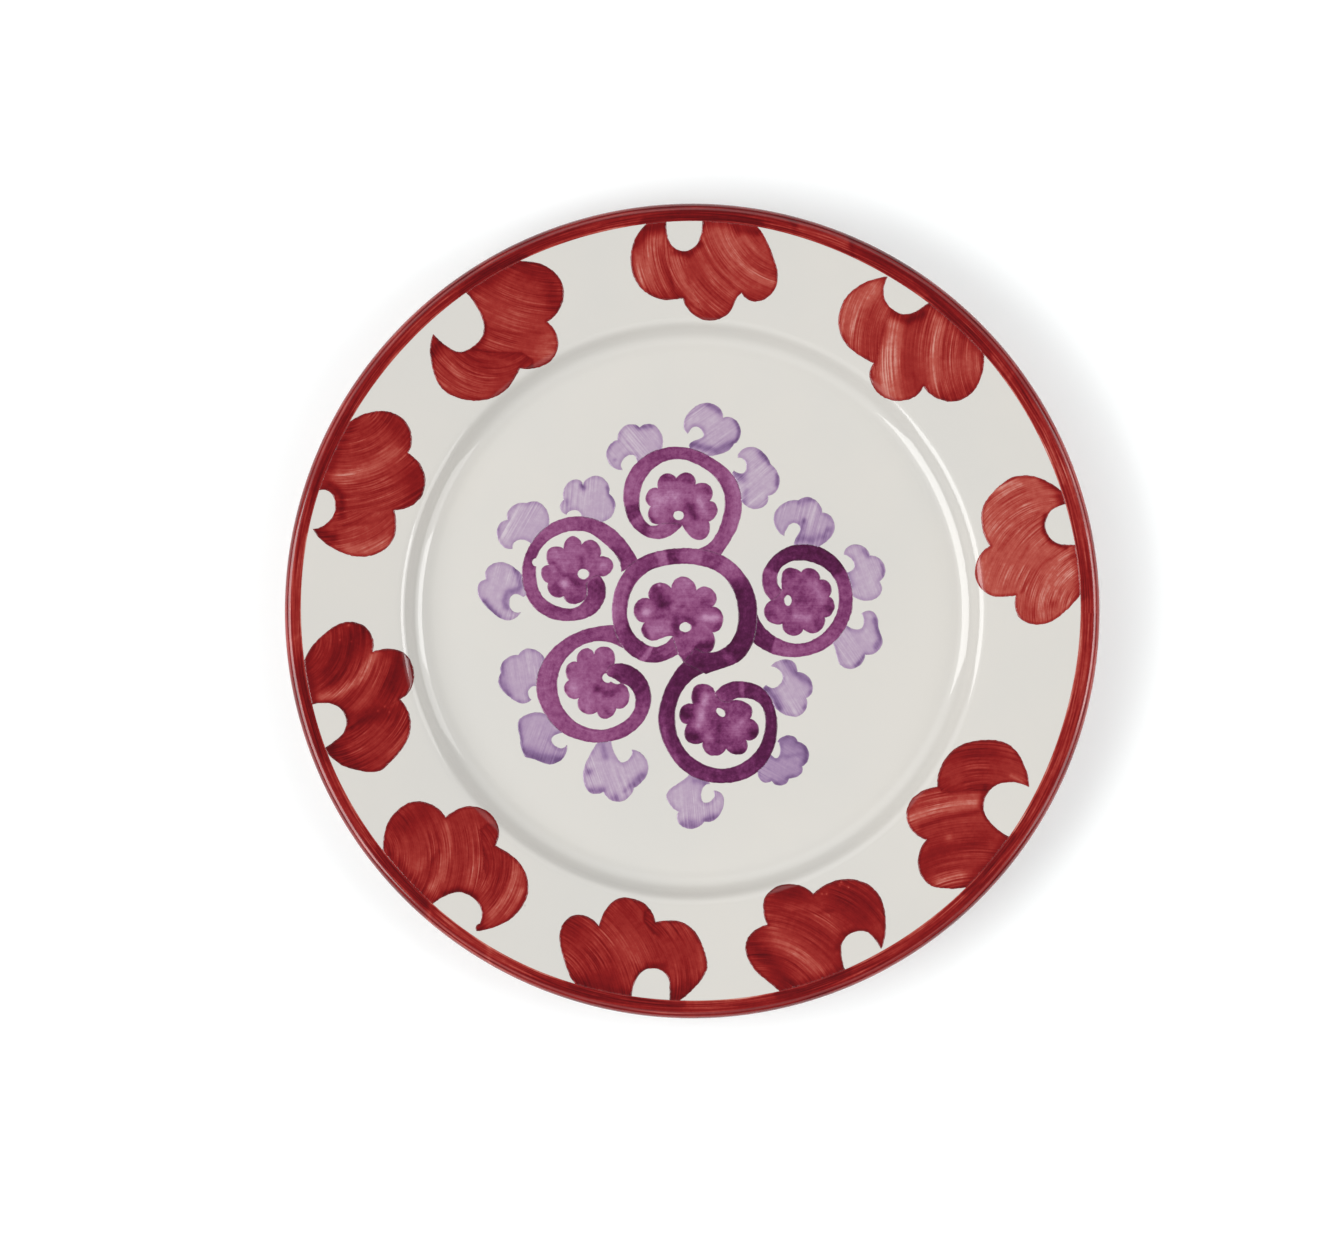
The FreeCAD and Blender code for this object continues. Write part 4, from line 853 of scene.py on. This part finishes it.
# ------ lilac leaves
# Direction of the faint brush lines in degrees, base tone, then pools of stronger colour, mm on the plate.
LILACS = [
    (35, 0.73, [
        ([(-1, 55.6), (4, 54.4), (8, 53.4), (13.4, 56)], 1.3, -0.42),
        ([(5.5, 68.6), (9, 66.4)], 1.2, -0.32), ([(14.6, 63.4), (15.8, 60), (15, 57)], 0.9, -0.36),
        ((3.8, 61), 0.9, -0.12)]),
    (130, 0.73, [
        ([(-18, 61.4), (-14, 61.4)], 1.2, -0.32), ([(-28.4, 54), (-27, 56)], 1.1, -0.26),
        ((-25.7, 50.3), 0.6, -0.3)]),
    (85, 0.73, [
        ([(-36.6, 41.8), (-36, 40.8)], 0.9, -0.42), ([(-28.2, 41), (-27, 38), (-25.8, 35)], 0.8, -0.32),
        ((-41.4, 36), 1.2, -0.2)]),
    (60, 0.73, [
        ((-64.6, 27), 1.2, -0.24), ((-61, 35), 0.9, -0.12), ((-50, 26), 1.2, -0.16)]),
    (75, 0.73, [
        ([(-69, 3), (-66.6, 0), (-64.5, -2)], 1.3, -0.4), ([(-58.6, 14), (-57, 8.4)], 1.0, -0.36),
        ([(-58, 7.2), (-61.4, 6.4), (-62.6, 3.4), (-62, 1.2)], 1.0, -0.36)]),
    (100, 0.66, [
        ([(-63.4, -17), (-64, -23), (-61, -28)], 1.6, -0.32), ((-57.6, -30.4), 1.0, -0.2),
        ((-53, -13), 0.9, -0.16)]),
    (70, 0.6, [
        ([(-56, -46.6), (-50, -48.8), (-44.6, -49.4)], 1.8, -0.46), ([(-58, -38), (-57.2, -43)], 1.2, -0.3),
        ((-45, -41), 1.0, -0.16)]),
    (110, 0.73, [
        ([(-29.6, -44.6), (-28.8, -48.4)], 1.3, -0.32), ((-34.2, -53.5), 1.2, -0.42),
        ([(-33.6, -59.6), (-29.6, -59.4)], 1.2, -0.32), ([(-16.6, -54.6), (-19.4, -57.4)], 1.3, -0.38),
        ((-25.4, -62), 1.3, -0.32), ([(-21, -58.4), (-22.4, -60)], 0.8, -0.26)]),
    (95, 0.73, [
        ([(4, -56.8), (1, -56.4)], 1.3, -0.32), ([(-3, -70.8), (0.6, -71)], 1.6, -0.32),
        ([(7.4, -68.4), (4.6, -69.4)], 1.3, -0.36)]),
    (150, 0.5, [
        ([(31, -42.6), (36, -44.6)], 2.4, -0.26), ([(38, -46.4), (37.4, -50)], 1.4, -0.38),
        ([(31, -48.4), (35.4, -47.8)], 0.8, -0.22), ([(28, -57.6), (33, -55)], 1.2, -0.2)]),
    (120, 0.73, [
        ([(24.6, -26), (27.4, -28.6), (29.2, -32)], 1.3, -0.46),
        ([(31.4, -17), (34.6, -21), (39.4, -24)], 1.3, -0.36), ((39.6, -27), 1.0, -0.24),
        ((37.4, -32), 1.0, -0.28)]),
    (125, 0.73, [
        ([(60.6, -3), (62.6, -9), (61, -12)], 1.0, -0.36), ([(54.6, -18.2), (57.4, -15)], 0.8, -0.32),
        ((52, -5.6), 0.9, -0.16)]),
    (110, 0.73, [
        ([(51.6, 12), (53.2, 8.4)], 1.2, -0.26), ([(63.4, 15.4), (63.6, 12)], 0.9, -0.24),
        ([(57, 20), (58.4, 18.6)], 0.9, -0.26)]),
    (75, 0.66, [
        ((37.2, 30), 1.0, -0.42), ([(37, 29), (37.4, 25)], 1.5, -0.24),
        ([(35, 23.8), (40, 23.6), (44, 25)], 1.4, -0.36), ((45.4, 27), 1.2, -0.42),
        ([(36, 36), (40, 37.3)], 1.2, -0.34), ((44.6, 32), 1.2, -0.14)]),
    (40, 0.73, [
        ([(15, 45.6), (17.2, 43.6)], 1.4, -0.34), ([(23, 52.6), (25.6, 49.6)], 1.3, -0.4),
        ([(28.4, 45), (28.2, 42)], 0.9, -0.38), ([(18, 40), (17.2, 36)], 0.9, -0.2)]),
]


def lilac_shade(heading, base, dabs):
    def shade(xy):
        tone = base + dabbed(xy, dabs, darker=1.3 if base > 0.7 else 1.0)
        return xy @ along(heading), xy @ across(heading), tone
    return shade


for number, leaf in enumerate(LILACS, 1):
    node = "lilac_leaf_%02d" % number
    mark(node, LILAC_PAINT, lilac_shade(*leaf), 0.5, 2.1 * number)


# ------ lip band
def band_inner(t):
    wander = 0.6 * np.cos(t - math.radians(12.0))
    return OUTER - BAND_WIDE - wander + 0.12 * (np.sin(5 * t) + np.sin(9 * t + 1))


# Tone of the band by angle, and the short cross marks where the brush was lifted.
BAND_TONES = [
    (0, 0.47), (20, 0.5), (35, 0.42), (47, 0.3), (60, 0.24), (66, 0.26), (75, 0.28), (90, 0.28),
    (105, 0.36), (115, 0.24), (124, 0.24), (135, 0.4), (150, 0.42), (160, 0.3), (175, 0.5), (185, 0.46),
    (190, 0.32), (205, 0.4), (220, 0.3), (228, 0.34), (230, 0.46), (240, 0.46), (250, 0.38), (262, 0.32),
    (275, 0.42), (288, 0.32), (300, 0.4), (310, 0.42), (320, 0.3), (330, 0.38), (345, 0.5), (360, 0.47)]
BAND_SEAMS = [
    (36.6, 0.14), (38.5, 0.08), (66.3, -0.16), (75.2, -0.1), (149, 0.08), (184, 0.1), (229, 0.24),
    (239.5, 0.16), (317, 0.06)]


def make_band():
    count, wide, under = 1080, 12, 4
    lip = np.array(bow(C_LIP, LIP + GLAZE, RIM_SLOPE, RIM_SLOPE - 180, LIP_STEPS))
    tail = lip[-1] - along(RIM_SLOPE) * BAND_UNDER
    t = 2 * np.pi * np.arange(count) / count
    edge = band_inner(t)
    points, normals = [], []
    for i in range(wide):
        r = edge + (lip[0, 0] - edge) * i / wide
        points.append(np.column_stack([r, top_z(r)]))
        normals.append(np.tile(across(RIM_SLOPE), (count, 1)))
    for i, p in enumerate(lip):
        points.append(np.tile(p, (count, 1)))
        normals.append(np.tile(across(RIM_SLOPE - 180 * i / LIP_STEPS), (count, 1)))
    for i in range(1, under + 1):
        points.append(np.tile(lip[-1] + (tail - lip[-1]) * i / under, (count, 1)))
        normals.append(np.tile(-across(RIM_SLOPE), (count, 1)))
    points, normals = np.array(points), np.array(normals)
    step = np.hypot(*np.moveaxis(np.diff(points, axis=0), 2, 0))
    v = np.vstack([np.zeros(count), np.cumsum(step, axis=0)])
    d = np.minimum(v, v[-1] - v)
    rise = crown(d, 0.016, 0.03) + (PAINT - SUNK) * np.clip((d - CROWN_WIDE) / 3.0, 0, 1)
    upper = points + normals * rise[..., None]
    lower = points - normals * SUNK
    section = np.concatenate([upper, lower[::-1]])
    x = section[..., 0] * np.cos(t)
    y = section[..., 0] * np.sin(t)
    z = section[..., 1]
    z = z + np.where(z > C_LIP[1], wobble(x, y), 0.0)
    verts = np.stack([x, y, z], axis=2).reshape(-1, 3)
    rows = len(section)
    faces = ring_faces(np.arange(rows * count).reshape(rows, count).tolist())
    both = lambda a: np.concatenate([a, a[::-1]]).reshape(-1)
    u = np.tile(t * OUTER, (len(points), 1))
    tone = np.tile(np.interp(np.degrees(t), *zip(*BAND_TONES)), (len(points), 1))
    tone += 0.34 * np.exp(-(v / 0.5) ** 2) + 0.03
    # darker where a leaf runs on under the band
    leaves = [p for node in MARKS if node.startswith("rim_leaf") for p in OUTLINES[node]]
    roots = np.vstack([p[np.hypot(p[:, 0], p[:, 1]) > LEAF_ROOT] for p in leaves])
    roots = roots[np.argsort(np.arctan2(roots[:, 1], roots[:, 0]))]
    near = np.hypot(*np.diff(roots, axis=0).T) < 16.0
    r = points[..., 0]
    flat = np.column_stack([(r * np.cos(t)).ravel(), (r * np.sin(t)).ravel()])
    gap = segment_distance(flat, roots[:-1][near], roots[1:][near])[0].reshape(v.shape)
    tone -= 0.2 * np.clip((2.8 - gap) / 0.9, 0, 1) * np.clip((4.5 - v) / 1.5, 0, 1)
    # bristle lines along the band, one family per row of points
    rng = np.random.default_rng(7)
    for row in range(len(points)):
        for waves in (3, 7, 13, 22, 37):
            tone[row] += 0.08 * rng.normal() * np.sin(waves * t + rng.uniform(0, 2 * np.pi))
        tone[row] += 0.06 * rng.normal()
    # a lighter, patchy stretch between two of the cross marks
    turned = np.degrees(t)
    patchy = np.clip((turned - 66.5) / 0.6, 0, 1) * np.clip((75 - turned) / 0.6, 0, 1)
    tone += 0.24 * patchy * np.exp(-((v - 3.4) / 1.3) ** 2)
    for angle, amount in BAND_SEAMS:
        along_band = (turned - angle + 180) % 360 - 180 - 0.25 * (v - 3)
        tone += amount * np.exp(-(along_band / 0.45) ** 2)
    brush = np.column_stack([both(u), both(v), np.full(2 * v.size, FAR)])
    data = {"brush": brush, "tone": both(tone), "seed": np.full(len(verts), 40.0)}
    # the two narrow faces at the edges stay flat
    smooth = np.repeat([i not in (len(points) - 1, rows - 1) for i in range(rows)], count).tolist()
    new_object("rim_band_paint", verts, faces, "rim_band", RED_PAINT, data, smooth)


make_band()


# ------ bare clay of the foot ring
def bare_clay():
    n = Nodes(bpy.data.materials.new("fired_clay"))
    place = n.place()
    body = n.noise(place, 90.0, 4.0, 0.6)
    grit = n.noise(place, 900.0, 2.0, 0.6)
    colour = n.mix(n.span(body, 0.3, 0.7), srgb(196, 170, 146), srgb(214, 192, 168))
    colour = n.mix(n.span(grit, 0.62, 0.7, 0.0, 0.5), colour, srgb(140, 112, 90))
    return n.surface(colour, 0.85, n.bump(grit, 0.0001, 0.6), IOR=1.45)


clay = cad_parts["clay_body"]
CLAY = bare_clay()
for place in clay.material_slots:
    place.material = CLAY

# ------ floor, light, camera
bpy.ops.mesh.primitive_plane_add(size=6.0, location=(0, 0, 0))
floor = bpy.context.object
floor.name = "studio_floor"
n = Nodes(bpy.data.materials.new("studio_floor"))
FLOOR_TINT = (0.945, 0.968, 0.972, 1.0)
floor.data.materials.append(n.surface(FLOOR_TINT, 0.9, IOR=1.2, Emission_Strength=FLOOR_LIFT))

# A pale room that is dark straight above and low down, and a little brighter to the left and the far side.
sky = Nodes(bpy.data.worlds.new("studio"), "ShaderNodeOutputWorld")
bpy.context.scene.world = sky.owner
x, y, z = sky.split(sky.add("ShaderNodeTexCoord").outputs["Generated"])
zenith = sky.span(z, 0.78, 0.93, 1.0, 0.12)
horizon = sky.span(z, 0.22, 0.64, 0.1, 1.0)
lean = sky.math("MULTIPLY_ADD", y, 0.25, sky.math("MULTIPLY_ADD", x, -0.3, 1.0))
level = sky.math("MULTIPLY", sky.math("MULTIPLY", zenith, horizon), lean)
room = sky.add("ShaderNodeBackground")
sky.put(room.inputs["Color"], (1.0, 1.0, 0.995, 1.0))
sky.put(room.inputs["Strength"], sky.math("MULTIPLY", level, ROOM))
sky.put(sky.out.inputs["Surface"], room.outputs[0])


def softbox(name, azimuth, low, high, spread, distance, radiance):
    """A soft box at polar angles low..high and azimuth +- spread, as the plate sees it."""
    middle, half = (low + high) / 2, (high - low) / 2
    side = math.degrees(math.asin(math.sin(math.radians(spread)) * math.sin(math.radians(middle))))
    data = bpy.data.lights.new(name, "AREA")
    data.shape = "RECTANGLE"
    data.size = 2 * distance * math.tan(math.radians(side))
    data.size_y = 2 * distance * math.tan(math.radians(half))
    data.energy = radiance * math.pi * data.size * data.size_y
    lamp = bpy.data.objects.new(name, data)
    a, p = math.radians(azimuth), math.radians(middle)
    lamp.location = Vector((math.sin(p) * math.cos(a), math.sin(p) * math.sin(a), math.cos(p))) * distance
    lamp.rotation_euler = (-lamp.location).to_track_quat("-Z", "Y").to_euler()
    bpy.context.scene.collection.objects.link(lamp)


softbox("key_softbox", 194, 39.5, 71.0, 29.0, 1.6, KEY)
softbox("right_softbox", 357, 42.0, 72.0, 33.0, 1.8, 2.1)
softbox("right_softbox_centre", 358, 42.0, 60.0, 14.0, 1.8, 3.5)

# Straight down; the small offsets put the plate where the photo has it in the frame.
CAMERA_AT, SENSOR, LENS = (-0.00703, -0.00332, 2.221), 36.0, 178.4
camera = bpy.data.objects.new("camera", bpy.data.cameras.new("camera"))
camera.data.sensor_width = SENSOR
camera.data.lens = LENS
camera.location = CAMERA_AT
camera.rotation_euler = (0, 0, 0)
camera.data.clip_end = 20.0
bpy.context.scene.collection.objects.link(camera)
bpy.context.scene.camera = camera
bpy.context.scene.view_settings.view_transform = "Standard"
